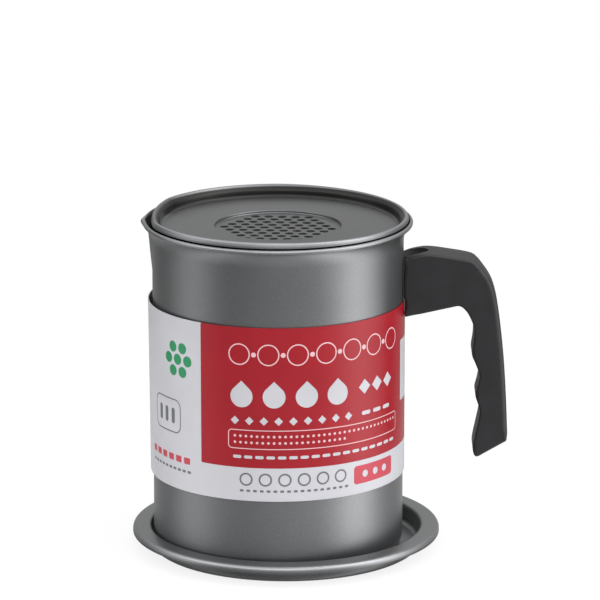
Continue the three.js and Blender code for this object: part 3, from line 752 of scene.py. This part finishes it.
def pan_outline(sizes, side_steps=40, corner_steps=14, round_steps=250):
    """The pan's outline and its outward directions: a flatter side of a larger radius, two round
    corners that touch it and the circle, and the rest of the circle. The side faces +X before it
    is turned. The corner's centre lies as far from each arc's centre as their radii differ."""
    side_x = sizes.radius - sizes.side_depth - sizes.side_radius
    side_reach = sizes.side_radius - sizes.corner_radius
    round_reach = sizes.radius - sizes.corner_radius
    corner_x = (round_reach**2 - side_reach**2 + side_x**2) / (2 * side_x)
    corner_y = math.sqrt(round_reach**2 - corner_x**2)
    side_swing = math.atan2(corner_y, corner_x - side_x)
    round_swing = math.atan2(corner_y, corner_x)
    spin = np.array([math.cos(sizes.side_azimuth), math.sin(sizes.side_azimuth)])
    places, out = [], []
    for x, y, radius, start, end, steps in (
        (side_x, 0, sizes.side_radius, -side_swing, side_swing, side_steps),
        (corner_x, corner_y, sizes.corner_radius, side_swing, round_swing, corner_steps),
        (0, 0, sizes.radius, round_swing, 2 * math.pi - round_swing, round_steps),
        (corner_x, -corner_y, sizes.corner_radius, -round_swing, -side_swing, corner_steps),
    ):
        angles = start + (end - start) * np.arange(steps) / steps + sizes.side_azimuth
        direction = np.column_stack([np.cos(angles), np.sin(angles)])
        places.append(x * spin + y * np.array([-spin[1], spin[0]]) + radius * direction)
        out.append(direction)
    return np.vstack(places), np.vstack(out)


def hole_places(pitch, rings):
    """Places in rings of six, twelve, eighteen and so on round a middle one."""
    q, r = np.meshgrid(np.arange(-rings, rings + 1), np.arange(-rings, rings + 1))
    inside = np.abs(q + r) <= rings
    q, r = q[inside], r[inside]
    return pitch * np.column_stack([q + r / 2, r * math.sqrt(3) / 2])


def swept(places, directions, profile):
    """Columns of points: each (offset, height) of the profile is carried to each place, as
    (place + offset times direction, height)."""
    flat = places[:, None, :] + directions[:, None, :] * profile[None, :, :1]
    heights = np.broadcast_to(profile[None, :, 1:], (len(places), len(profile), 1))
    return np.concatenate([flat, heights], -1)


def pan_mesh(sizes):
    """The pan's profile stands off its outline for the wall, the hem and the rolled edge, and off
    the axis for the floor and the sump. The edge leans down evenly towards the handle's side. The
    holes are cut last."""
    top, wall, hem, bead = PAN_HIGH.z, sizes.wall, sizes.hem_radius, sizes.bead_radius
    bead_z = top - bead
    hem_z = bead_z - sizes.hem_drop
    floor = top - sizes.depth
    under = floor - wall
    sump, rounding = sizes.sump_radius, sizes.sump_rounding
    sump_top, sump_under = floor - sizes.sump_depth, under - sizes.sump_depth
    fillet = np.array([-wall - sizes.floor_rounding, floor + sizes.floor_rounding])
    edge = np.vstack(
        [
            arc(fillet, sizes.floor_rounding + wall, -90, 0, 8),
            [[0, hem_z - PAN_JOINS["hem foot"] * hem]],
            [[PAN_JOINS["slope"] * sizes.hem_reach, hem_z - PAN_JOINS["hem"] * hem]],
            arc([sizes.hem_reach, hem_z], hem, -120, 12, 12),
            arc([sizes.bead_reach, bead_z], bead, 20, 150, 14),
            [[PAN_JOINS["slope"] * sizes.bead_reach, bead_z - PAN_JOINS["bead"] * bead]],
            [[PAN_JOINS["inside"] * sizes.bead_reach, bead_z - PAN_JOINS["bead foot"] * bead]],
            [[-wall, hem_z - PAN_JOINS["wall"] * hem]],
            arc(fillet, sizes.floor_rounding, 0, -90, 8),
        ]
    )
    places, out = pan_outline(sizes)
    span = np.linalg.norm(places, axis=1, keepdims=True)
    outer = sump + wall
    lower = np.vstack(
        [
            [[0, sump_under], [outer / 2, sump_under]],
            arc([outer - rounding, sump_under + rounding], rounding, -90, 0, 4),
            [[outer, under]],
        ]
    )
    upper = np.vstack(
        [
            arc([sump + rounding, floor - rounding], rounding, 90, 180, 4),
            arc([sump - rounding, sump_top + rounding], rounding, 0, -90, 4),
            [[sump / 2, sump_top], [0, sump_top]],
        ]
    )
    rim = swept(places, out, edge)
    share = np.clip((rim[..., 2:] - floor) / (top - floor), 0, 1) ** 2
    rim[..., 2:] -= sizes.lean * share * np.clip(places[:, None, :1] / span.max(), 0, 1)
    foot, dish = (swept(0 * places, places / span, profile) for profile in (lower, upper))
    mesh = skin("strainer_dish", np.concatenate([foot, rim, dish], 1), True)
    c, s = math.cos(sizes.side_azimuth), math.sin(sizes.side_azimuth)
    spots = hole_places(sizes.hole_pitch, sizes.hole_rings) @ np.array([[c, s], [-s, c]])
    hole = circle(sizes.hole_radius, 28)
    cutters = [prism(spot + hole, sump_under - MM, sump_top + MM) for spot in spots]
    return cut(mesh, cutters)


def tube_along(path, radius, sides):
    """A tube along a path: its section stands square to the path, in the plane of its sideways
    direction and the upright."""
    ahead = np.gradient(path, axis=0)
    ahead /= np.linalg.norm(ahead, axis=1, keepdims=True)
    side = np.cross(ahead, [0.0, 0.0, 1.0])
    side /= np.linalg.norm(side, axis=1, keepdims=True)
    lift = np.cross(side, ahead)
    a = circle_angles(sides)[:, None]
    points = path[:, None] + radius * (side[:, None] * np.cos(a) + lift[:, None] * np.sin(a))
    steps, end = len(path), np.arange(sides)
    faces = quads(steps, sides, True)[:-sides]
    faces += [end.tolist(), (end + (steps - 1) * sides)[::-1].tolist()]
    return points.reshape(-1, 3), faces


def cloth_mesh(sizes):
    """Plain-woven wire: each wire runs straight across the disc and rises and falls as a cosine,
    over one crossing wire and under the next, and the other way in the next wire."""
    pitch = sizes.wire_pitch
    rim = sizes.sump_radius + sizes.wall - CLOTH_EDGE
    middle = (CLOTH_LOW.z + CLOTH_HIGH.z) / 2
    reach = int((rim - pitch / 2) / pitch)
    solids = []
    for across in (False, True):
        for lane in range(-reach, reach + 1):
            count = int(math.sqrt(rim**2 - (lane * pitch) ** 2) / pitch)
            if count < 1:
                continue
            steps = np.arange(-2 * count, 2 * count + 1)
            turn_up = 1 if (lane % 2 == 0) != across else -1
            height = middle + turn_up * sizes.wire_radius * np.cos(steps * math.pi / 2)
            height = np.where(steps % 2 == 0, height, middle)
            path = [steps * pitch / 2, np.full(len(steps), lane * pitch), height]
            if across:
                path = [path[1], path[0], path[2]]
            solids.append(tube_along(np.stack(path, -1), sizes.wire_radius, 5))
    return mesh_of("wire_cloth", *together(solids), smooth_angle=80)


def ring_mesh(sizes):
    """The ring's folded section turned round the axis: an upright leg with a lip at its foot."""
    leg, low, high, wall = RING_HIGH.x, RING_LOW.z, RING_HIGH.z, sizes.ring_wall
    lip = leg - sizes.ring_lip
    soft = wall / 2
    profile = np.vstack(
        [
            arc([lip + soft, low + soft], soft, 90, 270, 8),
            arc([leg - wall, low + wall], wall, -90, 0, 6),
            arc([leg - soft, high - soft], soft, 0, 180, 8),
            arc([leg - wall - soft / 2, low + wall + soft / 2], soft / 2, 0, -90, 3),
        ]
    )
    return skin("mesh_clamp_ring", around(profile, circle_angles(180)))


def smooth_line(points, spacing):
    """Even steps along a Catmull-Rom curve through the points: between two points it is the cubic
    whose slopes are half the way from the point before to the point after."""
    ends = np.vstack([2 * points[0] - points[1], points, 2 * points[-1] - points[-2]])
    before, start, end, after = ends[:-3], ends[1:-2], ends[2:-1], ends[3:]
    t = np.linspace(0, 1, 24, endpoint=False)[None, :, None]
    a, b, c, d = (p[:, None, :] for p in (before, start, end, after))
    curve = 0.5 * (
        2 * b + (c - a) * t + (2 * a - 5 * b + 4 * c - d) * t**2 + (3 * b - a - 3 * c + d) * t**3
    )
    curve = np.vstack([curve.reshape(-1, points.shape[1]), points[-1:]])
    return even_line(curve, spacing)


def even_line(points, spacing):
    """Points at even steps along a line of straight parts."""
    run = np.concatenate([[0], np.cumsum(np.linalg.norm(np.diff(points, axis=0), axis=1))])
    steps = max(2, int(round(run[-1] / spacing)))
    marks = np.linspace(0, run[-1], steps + 1)
    return np.column_stack([np.interp(marks, run, column) for column in points.T])


def eased(loop, steps):
    """A closed run of values, each replaced by an average of its neighbours whose weights fall off
    as a bell curve over that many steps."""
    offsets = np.arange(-int(3 * steps), int(3 * steps) + 1)
    weights = np.exp(-0.5 * (offsets / steps) ** 2)
    weights /= weights.sum()
    return sum(w * np.roll(loop, k, axis=0) for w, k in zip(weights, offsets))


def grip_outline(sizes):
    """The closed outline of the grip as (x, z), clockwise from the root's top. Its corners are
    eased by a running average whose weights fall off as a bell curve."""
    corner = np.array([sizes.root, GRIP_HIGH.z])
    scale = np.array([GRIP_HIGH.x - sizes.root, GRIP_LOW.z - GRIP_HIGH.z])
    top, spine, end, fingers, foot = (
        corner + np.array(shares) * scale
        for shares in (
            ROOT_TOP_SHARES + SPINE_SHARES[:1],
            SPINE_SHARES,
            END_SHARES,
            FINGER_SHARES,
            ROOT_FOOT_SHARES,
        )
    )
    top, spine, fingers = (smooth_line(line, OUTLINE_STEP) for line in (top, spine, fingers))
    loop = np.vstack([top[:-1], spine, end, fingers, foot, top[:1]])
    loop = even_line(loop, OUTLINE_STEP)[:-1]
    return eased(loop, sizes.corner_softness / OUTLINE_STEP)


def grip_rounding(line, ahead, out, span, sizes):
    """How round the grip's edge is at each point of its outline. It is wider where the outline
    faces outwards and on the crests between the fingers, and shrinks to a share of the outline's
    own radius at corners, down and up again at an even slope."""
    outward = np.clip(out[:, 0], 0, 1) ** 3
    rounding = sizes.edge_rounding + (sizes.spine_rounding - sizes.edge_rounding) * outward
    proud = np.sum((line - eased(line, CREST_WIDTH / OUTLINE_STEP)) * out, axis=1)
    rounding = rounding + np.clip(proud * (out[:, 0] < CREST_FACING), 0, CREST_ROUNDING)
    bend = np.sum((np.roll(out, -1, axis=0) - np.roll(out, 1, axis=0)) * ahead, axis=1)
    room = CORNER_SHARE * span / np.maximum(bend, span / STRAIGHT_RADIUS)
    slope = CORNER_SLOPE * OUTLINE_STEP
    near_by = [np.roll(room, k) + slope * abs(k) for k in range(-50, 51)]
    return np.minimum(rounding, np.min(near_by, axis=0))


def grip_mesh(sizes):
    """A slab over the outline. Across its width the line runs in from the side face on a quarter
    circle, straight over the edge with a fine groove at the mould's parting, and out again. The
    root follows the wall, as x = root - sqrt(root squared - y squared) at its face."""
    line = grip_outline(sizes)
    ahead = np.roll(line, -1, axis=0) - np.roll(line, 1, axis=0)
    span = np.linalg.norm(ahead, axis=1)
    ahead /= span[:, None]
    out = np.column_stack([-ahead[:, 1], ahead[:, 0]])
    rounding = grip_rounding(line, ahead, out, span, sizes)[:, None]
    quarter = np.radians(np.linspace(0, 90, 9))
    inset = rounding * np.append(SIDE_FACE_INSET, 1 - np.sin(quarter))
    depth = sizes.width / 2 - rounding * np.append(0, 1 - np.cos(quarter))
    flat_y = sizes.parting_width / 2 * np.array([4, 1, 0.5, 0]) + 0 * rounding
    flat_in = sizes.parting_depth * np.array([0, 0, 1, 1]) + 0 * rounding
    inset = np.hstack([inset, flat_in, flat_in[:, -2::-1], inset[:, ::-1]])
    y = np.hstack([-depth, -flat_y, flat_y[:, -2::-1], depth[:, ::-1]])
    flat = line[:, None, :] - out[:, None, :] * inset[:, :, None]
    near = np.clip((sizes.root + ROOT_BLEND - flat[..., 0]) / ROOT_BLEND, 0, 1)
    wall = sizes.root - np.sqrt(sizes.root**2 - y**2)
    above = np.clip((flat[..., 1] - SLEEVE_HIGH.z - SLEEVE_CLEAR) / MM, 0, 1)
    x = flat[..., 0] - near * (wall + sizes.root_reach + ROOT_OVER_SLEEVE * above)
    columns = np.stack([x, y, flat[..., 1]], -1)
    count, rows = columns.shape[:2]
    rim = np.arange(count) * rows
    faces = quads(count, rows) + [rim.tolist(), (rim[::-1] + rows - 1).tolist()]
    mesh = mesh_of("moulded_grip", columns.reshape(-1, 3), faces)
    shell = bmesh.new()
    shell.from_mesh(mesh)
    bmesh.ops.recalc_face_normals(shell, faces=shell.faces)
    sides = [face for face in shell.faces if len(face.verts) > 4]
    bmesh.ops.triangulate(shell, faces=sides)
    shell.to_mesh(mesh)
    shell.free()
    for solid in grip_cuts(sizes):
        mesh = cut(mesh, [solid], 30)
    return mesh


def ball(centre, radii, around_steps=40, up_steps=20):
    """Points and faces of an ellipsoid: (cos a cos b, sin a cos b, sin b) times its radii."""
    a = circle_angles(around_steps)[:, None]
    b = np.linspace(-math.pi / 2, math.pi / 2, up_steps + 1)[None, 1:-1]
    ring = np.stack([np.cos(a) * np.cos(b), np.sin(a) * np.cos(b), np.sin(b) + 0 * a], -1)
    points = np.vstack([ring.reshape(-1, 3), [[0, 0, -1]], [[0, 0, 1]]])
    faces = quads(*ring.shape[:2]) + fans(*ring.shape[:2])
    return points * np.asarray(radii) + np.asarray(centre), faces


def grip_cuts(sizes):
    """The scoop over the root, the pocket for the bracket's plate and the socket for its tongue,
    and the screw's two holes."""
    fit, overlap = sizes.fit, 0.3 * MM
    inner = sizes.root - 3 * MM
    tongue_z = SCREW_HIGH.z - MM - sizes.tongue_thickness / 2
    rise = sizes.tongue_thickness / 2 + fit
    tongue = (inner, sizes.root + sizes.tongue_reach + fit, sizes.tongue_width / 2 + fit)
    plate = (inner, sizes.root - overlap + sizes.plate_depth, sizes.plate_width / 2 + fit)
    plate_low, plate_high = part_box("handle_bracket")
    seat = SCREW_LOW.z + sizes.screw_head_height
    under_root = GRIP_LOW.z + 55 * MM
    shaft, bore = circle(sizes.screw_shank + overlap), circle(sizes.screw_head + fit)
    scoop_at = [sizes.root, 0, GRIP_HIGH.z + SCOOP_MIDDLE]
    scoop = [sizes.scoop_length, sizes.scoop_width, sizes.scoop_depth + SCOOP_OVER_ROOT]
    return [
        ball(scoop_at, scoop),
        block(*plate, plate_low.z - fit, plate_high.z + fit),
        block(*tongue, tongue_z - rise, tongue_z + rise),
        prism(shaft + [sizes.screw_x, 0], seat, SCREW_HIGH.z + fit),
        prism(bore + [sizes.screw_x, 0], under_root, seat + overlap),
    ]


def screw_mesh(sizes):
    """A pan head with a cross recess under a threaded shank. The thread's ridge follows a helix:
    the radius falls off with the distance from its crest along the axis."""
    low, high = SCREW_LOW.z, SCREW_HIGH.z
    seat = low + sizes.screw_head_height
    head, shank = sizes.screw_head, sizes.screw_shank
    dome, edge = 0.9 * MM, 0.2 * MM
    heights = np.linspace(seat + edge, high - SCREW_TIP, 72)
    profile = np.vstack(
        [
            [[0, low], [head / 2, low]],
            arc([head - dome, low + dome], dome, -90, 0, 8),
            arc([head - edge, seat - edge], edge, 0, 90, 3),
            [[shank, seat]],
            upright(shank, heights),
            [[0.5 * shank, high], [0, high]],
        ]
    )
    angles = circle_angles(48)
    columns = around(profile, angles)
    x, y, z = (columns[..., k] for k in range(3))
    turns = z / sizes.thread_pitch - angles[:, None] / (2 * math.pi)
    crest = np.abs(turns - np.round(turns)) * 2
    fade = np.clip((z - seat - THREAD_START) / MM, 0, 1) * (np.hypot(x, y) > 0.8 * shank)
    shrink = 1 - fade * crest * sizes.thread_depth / shank
    columns = np.stack([x * shrink + sizes.screw_x, y * shrink, z], -1)
    mesh = skin("grip_screw", columns, True)
    arm, slot = RECESS_ARM, RECESS_SLOT
    quarter = np.array([[arm, -slot], [arm, slot], [slot, slot]])
    turned = [[[1, 0], [0, 1]], [[0, 1], [-1, 0]], [[-1, 0], [0, -1]], [[0, -1], [1, 0]]]
    cross = np.vstack([quarter @ np.array(matrix) for matrix in turned])
    return cut(mesh, [prism(cross + [sizes.screw_x, 0], low - MM, low + RECESS_DEPTH)])


def sleeve_mesh(sizes):
    """The card as a band: its radius is the wall's, plus a bulge that grows towards the spout as
    the cosine to the power 1.5 and upwards in proportion, plus faint long waves. The lap is a
    second thickness, and the print's UV map is in metres of card."""
    low, high = SLEEVE_LOW.z, SLEEVE_HIGH.z
    from_lap = circle_angles(sizes.steps)[:, None]
    a, climb = sizes.lap_azimuth + from_lap, np.linspace(0, 1, 25)
    heights = low + (high - low) * climb
    side = np.maximum(0, -np.cos(a)) ** 1.5
    bulge = (sizes.bulge_foot + (sizes.bulge_top - sizes.bulge_foot) * climb) * side
    waves = CARD_WAVES * (1 + np.sin(5 * a + 2.2 * climb)) * side
    base = sizes.inner_radius + bulge + waves
    layers = 1 + (from_lap < sizes.lap_width / sizes.inner_radius)
    radii = np.concatenate([base + layers * sizes.thickness, base[:, ::-1]], 1)
    z = np.concatenate([heights, heights[::-1]])
    columns = np.stack([radii * np.cos(a), radii * np.sin(a), z + 0 * radii], -1)
    mesh = skin("card_sleeve", columns, smooth_angle=40)
    count, rows = radii.shape
    behind = np.tile(np.arange(rows) >= len(climb) - 1, count)
    mesh.polygons.foreach_set("material_index", behind.astype(np.int32))
    radius = sizes.inner_radius + sizes.thickness
    turned = sizes.lap_azimuth + np.arange(count + 1) * 2 * math.pi / count
    u, v = radius * (turned - 1.5 * math.pi), z - low
    i, j = np.indices((count, rows))
    k = (j + 1) % rows
    corner_u = np.stack([u[i], u[i + 1], u[i + 1], u[i]], -1)
    corner_v = np.stack([v[j], v[j], v[k], v[k]], -1)
    half_turn = math.pi * radius
    corner_u = np.where(corner_u > half_turn, corner_u - 2 * half_turn, corner_u)
    layer = mesh.uv_layers.new(name="sheet")
    layer.data.foreach_set("uv", np.stack([corner_u, corner_v], -1).astype(np.float32).ravel())
    inner, outer = sizes.inner_radius - 3 * MM, sizes.inner_radius + 3 * MM
    notch = block(inner, outer, sizes.notch_half_width, high - sizes.notch_drop, high + MM)
    return cut(mesh, [notch], 40)


def tray_mesh(sizes):
    """The tray's section turned round its own axis: floor, rounded corner, well wall, rounded edge,
    sloping flange and an edge that turns down, and the same line on the other side of the sheet."""
    wall, deep, soft = sizes.wall, TRAY_HIGH.z, sizes.edge_rounding
    middle = (TRAY_LOW + TRAY_HIGH) / 2
    outer = sizes.well_radius + wall
    fillet = np.array([outer - sizes.floor_rounding, sizes.floor_rounding])
    edge = sizes.well_radius + sizes.flange_width
    lip = np.array([edge - sizes.lip_radius, deep - sizes.flange_fall - sizes.lip_radius])
    round_at = np.array([outer + soft, deep - wall - soft])
    slope = math.degrees(math.atan2(sizes.flange_fall, lip[0] - outer))
    near, far = 0.3 * outer, 0.7 * outer
    profile = np.vstack(
        [
            [[0, 0], [near, 0], [far, 0]],
            arc(fillet, sizes.floor_rounding, -90, 0, 10),
            arc(round_at, soft, 180, 90 - slope, 6),
            arc(lip, sizes.lip_radius - wall, 90 - slope, 0, 5),
            arc([edge - wall / 2, lip[1] - sizes.lip_drop], wall / 2, 180, 360, 8),
            arc(lip, sizes.lip_radius, 0, 90 - slope, 10),
            arc(round_at, soft + wall, 90 - slope, 180, 10),
            arc(fillet, sizes.floor_rounding - wall, 0, -90, 8),
            [[far, wall], [near, wall], [0, wall]],
        ]
    )
    columns = around(profile, circle_angles(sizes.steps)) + [middle.x, middle.y, 0]
    return skin("tray_dish", columns, polar=True)


class AddTray(bpy.types.Operator):
    """Add the drip tray"""

    bl_idname = "mesh.grease_pot_tray"
    bl_label = "Drip Tray"

    def execute(self, context):
        scene = context.scene
        coat = coated_steel(scene.pot_finishes, TRAY_ZONES)
        place(tray_mesh(scene.tray_sizes), "tray", "coated_steel", coat, "drip_tray")
        return {"FINISHED"}


class AddPot(bpy.types.Operator):
    """Add the pot's shell"""

    bl_idname = "mesh.grease_pot_shell"
    bl_label = "Pot"

    def execute(self, context):
        scene = context.scene
        coat = coated_steel(scene.pot_finishes, POT_ZONES)
        place(pot_mesh(scene.pot_sizes), "pot", "coated_steel", coat, "pot_body")
        return {"FINISHED"}


class AddGrip(bpy.types.Operator):
    """Add the grip and its screw, and finish the bracket between grip and wall"""

    bl_idname = "mesh.grease_pot_grip"
    bl_label = "Grip"

    def execute(self, context):
        sizes, finish = context.scene.grip_sizes, context.scene.pot_finishes
        plated = zinc_plated_steel(finish)
        place(grip_mesh(sizes), "pot", "black_plastic", moulded_plastic(finish), "handle_grip")
        place(screw_mesh(sizes), "pot", "pressed_steel", plated, "handle_screw")
        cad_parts["handle_bracket"].material_slots[0].material = plated
        return {"FINISHED"}


class AddSleeve(bpy.types.Operator):
    """Add the printed card sleeve"""

    bl_idname = "mesh.grease_pot_sleeve"
    bl_label = "Sleeve"

    def execute(self, context):
        scene = context.scene
        mesh = sleeve_mesh(scene.sleeve_sizes)
        mesh.materials.clear()
        place(mesh, "pot", "paper", printed_card(scene.pot_finishes), "label_sleeve")
        mesh.materials.append(bare_board(scene.pot_finishes))
        return {"FINISHED"}


class AddStrainer(bpy.types.Operator):
    """Add the strainer pan, the woven wire under it and the ring that holds the wire"""

    bl_idname = "mesh.grease_pot_strainer"
    bl_label = "Strainer"

    def execute(self, context):
        sizes, finish = context.scene.strainer_sizes, context.scene.pot_finishes
        coat = coated_steel(finish, PAN_ZONES)
        place(pan_mesh(sizes), "strainer", "coated_steel", coat, "strainer_pan")
        place(cloth_mesh(sizes), "strainer", "wire_steel", stainless_wire(finish), "filter_mesh")
        plated = zinc_plated_steel(finish)
        place(ring_mesh(sizes), "strainer", "pressed_steel", plated, "mesh_ring")
        return {"FINISHED"}


def lamp(name, place_at, aim, size, power):
    """A square soft lamp at a place, turned to where it aims."""
    data = bpy.data.lights.new(name, "AREA")
    data.shape = "SQUARE"
    data.size = size
    data.energy = power
    thing = add_object(name, data)
    thing.location = place_at
    thing.rotation_mode = "QUATERNION"
    thing.rotation_quaternion = (Vector(aim) - Vector(place_at)).to_track_quat("-Z", "Y")


def seen_directly(tree):
    """One on rays that come straight from the camera or through something clear, else zero."""
    camera = add_node(tree, "LightPath", {}, "Is Camera Ray")
    clear = add_node(tree, "LightPath", {}, "Is Transmission Ray")
    return add_node(tree, "Math", (camera, clear), operation="MAXIMUM")


def stage_material(colour):
    """Matt white paper of a studio floor. Most of what is seen of it is plain white, and it grows
    to pure white towards its edge. In metal it mirrors the tall soft boxes, as a polished floor
    does, but for the shadow close to the object. From below it is clear."""
    material, tree, where = new_material("white studio paper")
    away = add_node(tree, "VectorMath", (where,), 1, operation="LENGTH")
    pulp = add_node(tree, "TexNoise", grains(where, 6, 3))
    fibres = add_node(tree, "MapRange", (pulp, 0.3, 0.7, 0.98, 1))
    shade = add_node(tree, "VectorMath", {0: tuple(colour), 3: fibres}, operation="SCALE")
    matt = add_node(tree, "BsdfDiffuse", {"Color": shade})
    white = add_node(tree, "Emission", {"Strength": 1.0})
    plain, shadow, near = (
        add_node(tree, "MapRange", (away, *change))
        for change in (FLOOR_WHITE, FLOOR_SHADOW, FLOOR_MIRROR)
    )
    share = add_node(tree, "Math", (seen_directly(tree), plain), operation="MULTIPLY")
    both = add_node(tree, "MixShader", (share, matt, white))
    clear = add_node(tree, "BsdfTransparent", {"Color": shadow})
    bright = add_node(tree, "Emission", {"Color": shadow, "Strength": near})
    mirrored = add_node(tree, "AddShader", (clear, bright))
    glossy = add_node(tree, "LightPath", {}, "Is Glossy Ray")
    seen = add_node(tree, "MixShader", (glossy, both, mirrored))
    below = add_node(tree, "NewGeometry", {}, "Backfacing")
    open_below = add_node(tree, "BsdfTransparent", {})
    seen = add_node(tree, "MixShader", (below, seen, open_below))
    add_node(tree, "OutputMaterial", {"Surface": seen})
    return material


def studio_world(level):
    """The light all round, as the sum of a level and of glows. A glow is its brightness times a
    power of the cosine between the ray and the glow's middle. The tall ones take the ray's compass
    direction alone, and a wide one takes half of one plus the cosine. A band is that half times a
    power of one less the difference in height. Seen directly the world is white."""
    world = bpy.data.worlds.new("studio")
    world.use_nodes = True
    tree = world.node_tree
    tree.nodes.clear()
    ray = add_node(tree, "TexCoord", {}, "Generated")
    flat = add_node(tree, "VectorMath", (ray, (1.0, 1.0, 0.0)), operation="MULTIPLY")
    flat = add_node(tree, "VectorMath", (flat,), operation="NORMALIZE")
    climb = add_node(tree, "SeparateXYZ", (ray,), 2)
    total = level
    for source, middle, wide, power, brightness in STUDIO_GLOWS:
        azimuth, height = (math.radians(angle) for angle in middle)
        across, rise = math.cos(height), math.sin(height)
        towards = (math.sin(azimuth) * across, -math.cos(azimuth) * across, rise)
        facing = (ray if source == "round" else flat, towards)
        glow = add_node(tree, "VectorMath", facing, 1, operation="DOT_PRODUCT")
        glow = add_node(tree, "MapRange", (glow, -1.0 if wide else 0.0, 1.0))
        if source == "band":
            off = add_node(tree, "Math", (climb, rise), operation="SUBTRACT")
            off = add_node(tree, "Math", (off,), operation="ABSOLUTE")
            near = add_node(tree, "Math", (1.0, off), operation="SUBTRACT")
            near = add_node(tree, "Math", (near, power), operation="POWER")
            glow = add_node(tree, "Math", (glow, near), operation="MULTIPLY")
        else:
            glow = add_node(tree, "Math", (glow, power), operation="POWER")
        total = add_node(tree, "Math", (glow, brightness, total), operation="MULTIPLY_ADD")
    white = (1, 1, 1, 1)
    lit = add_node(tree, "Background", {"Color": white, "Strength": total})
    plain = add_node(tree, "Background", {"Color": white, "Strength": 1.0})
    room = add_node(tree, "MixShader", (seen_directly(tree), lit, plain))
    add_node(tree, "OutputWorld", {"Surface": room})
    return world


class AddStage(bpy.types.Operator):
    """Add the floor, the surrounding light, the lamp and the camera"""

    bl_idname = "mesh.grease_pot_stage"
    bl_label = "Stage"

    def execute(self, context):
        scene = context.scene
        sizes = scene.stage_sizes
        reach = sizes.floor_reach
        corners = np.array([[x, y, 0] for y in (-reach, reach) for x in (-reach, reach)])
        floor = add_object("studio_floor", mesh_of("studio_floor", corners, [[0, 1, 3, 2]]))
        floor.data.materials.append(stage_material(sizes.floor))
        scene.world = studio_world(sizes.room_level)
        lamp("front", *FRONT_LAMP, sizes.front_power)
        back = Vector((0, -math.cos(sizes.elevation), math.sin(sizes.elevation)))
        data = bpy.data.cameras.new("camera")
        data.lens = sizes.focal
        data.clip_end = FARTHEST_SEEN
        camera = add_object("camera", data)
        camera.location = Vector((sizes.aim_x, 0, sizes.aim_z)) + back * sizes.distance
        camera.rotation_euler = (math.pi / 2 - sizes.elevation, 0, 0)
        scene.camera = camera
        scene.view_settings.view_transform = "Standard"
        return {"FINISHED"}


SETTINGS = {
    "pot_sizes": PotSizes,
    "strainer_sizes": StrainerSizes,
    "grip_sizes": GripSizes,
    "sleeve_sizes": SleeveSizes,
    "tray_sizes": TraySizes,
    "pot_finishes": Finishes,
    "stage_sizes": StageSizes,
}
OPERATORS = (AddStage, AddTray, AddPot, AddGrip, AddSleeve, AddStrainer)


class GreasePotPanel(bpy.types.Panel):
    """Lists the pieces and their sizes"""

    bl_label = "Grease Pot"
    bl_idname = "VIEW3D_PT_grease_pot"
    bl_space_type = "VIEW_3D"
    bl_region_type = "UI"
    bl_category = "Grease Pot"

    def draw(self, context):
        for operator in OPERATORS:
            self.layout.operator(operator.bl_idname)
        for name, group in SETTINGS.items():
            box = self.layout.box()
            for prop in group.__annotations__:
                box.prop(getattr(context.scene, name), prop)


def register():
    for group in (*SETTINGS.values(), *OPERATORS, GreasePotPanel):
        bpy.utils.register_class(group)
    for name, group in SETTINGS.items():
        setattr(bpy.types.Scene, name, PointerProperty(type=group))


def unregister():
    for name in SETTINGS:
        delattr(bpy.types.Scene, name)
    for group in reversed((*SETTINGS.values(), *OPERATORS, GreasePotPanel)):
        bpy.utils.unregister_class(group)


def main():
    register()
    for operator in OPERATORS:
        family, action = operator.bl_idname.split(".")
        getattr(getattr(bpy.ops, family), action)()


if __name__ == "__main__":
    main()
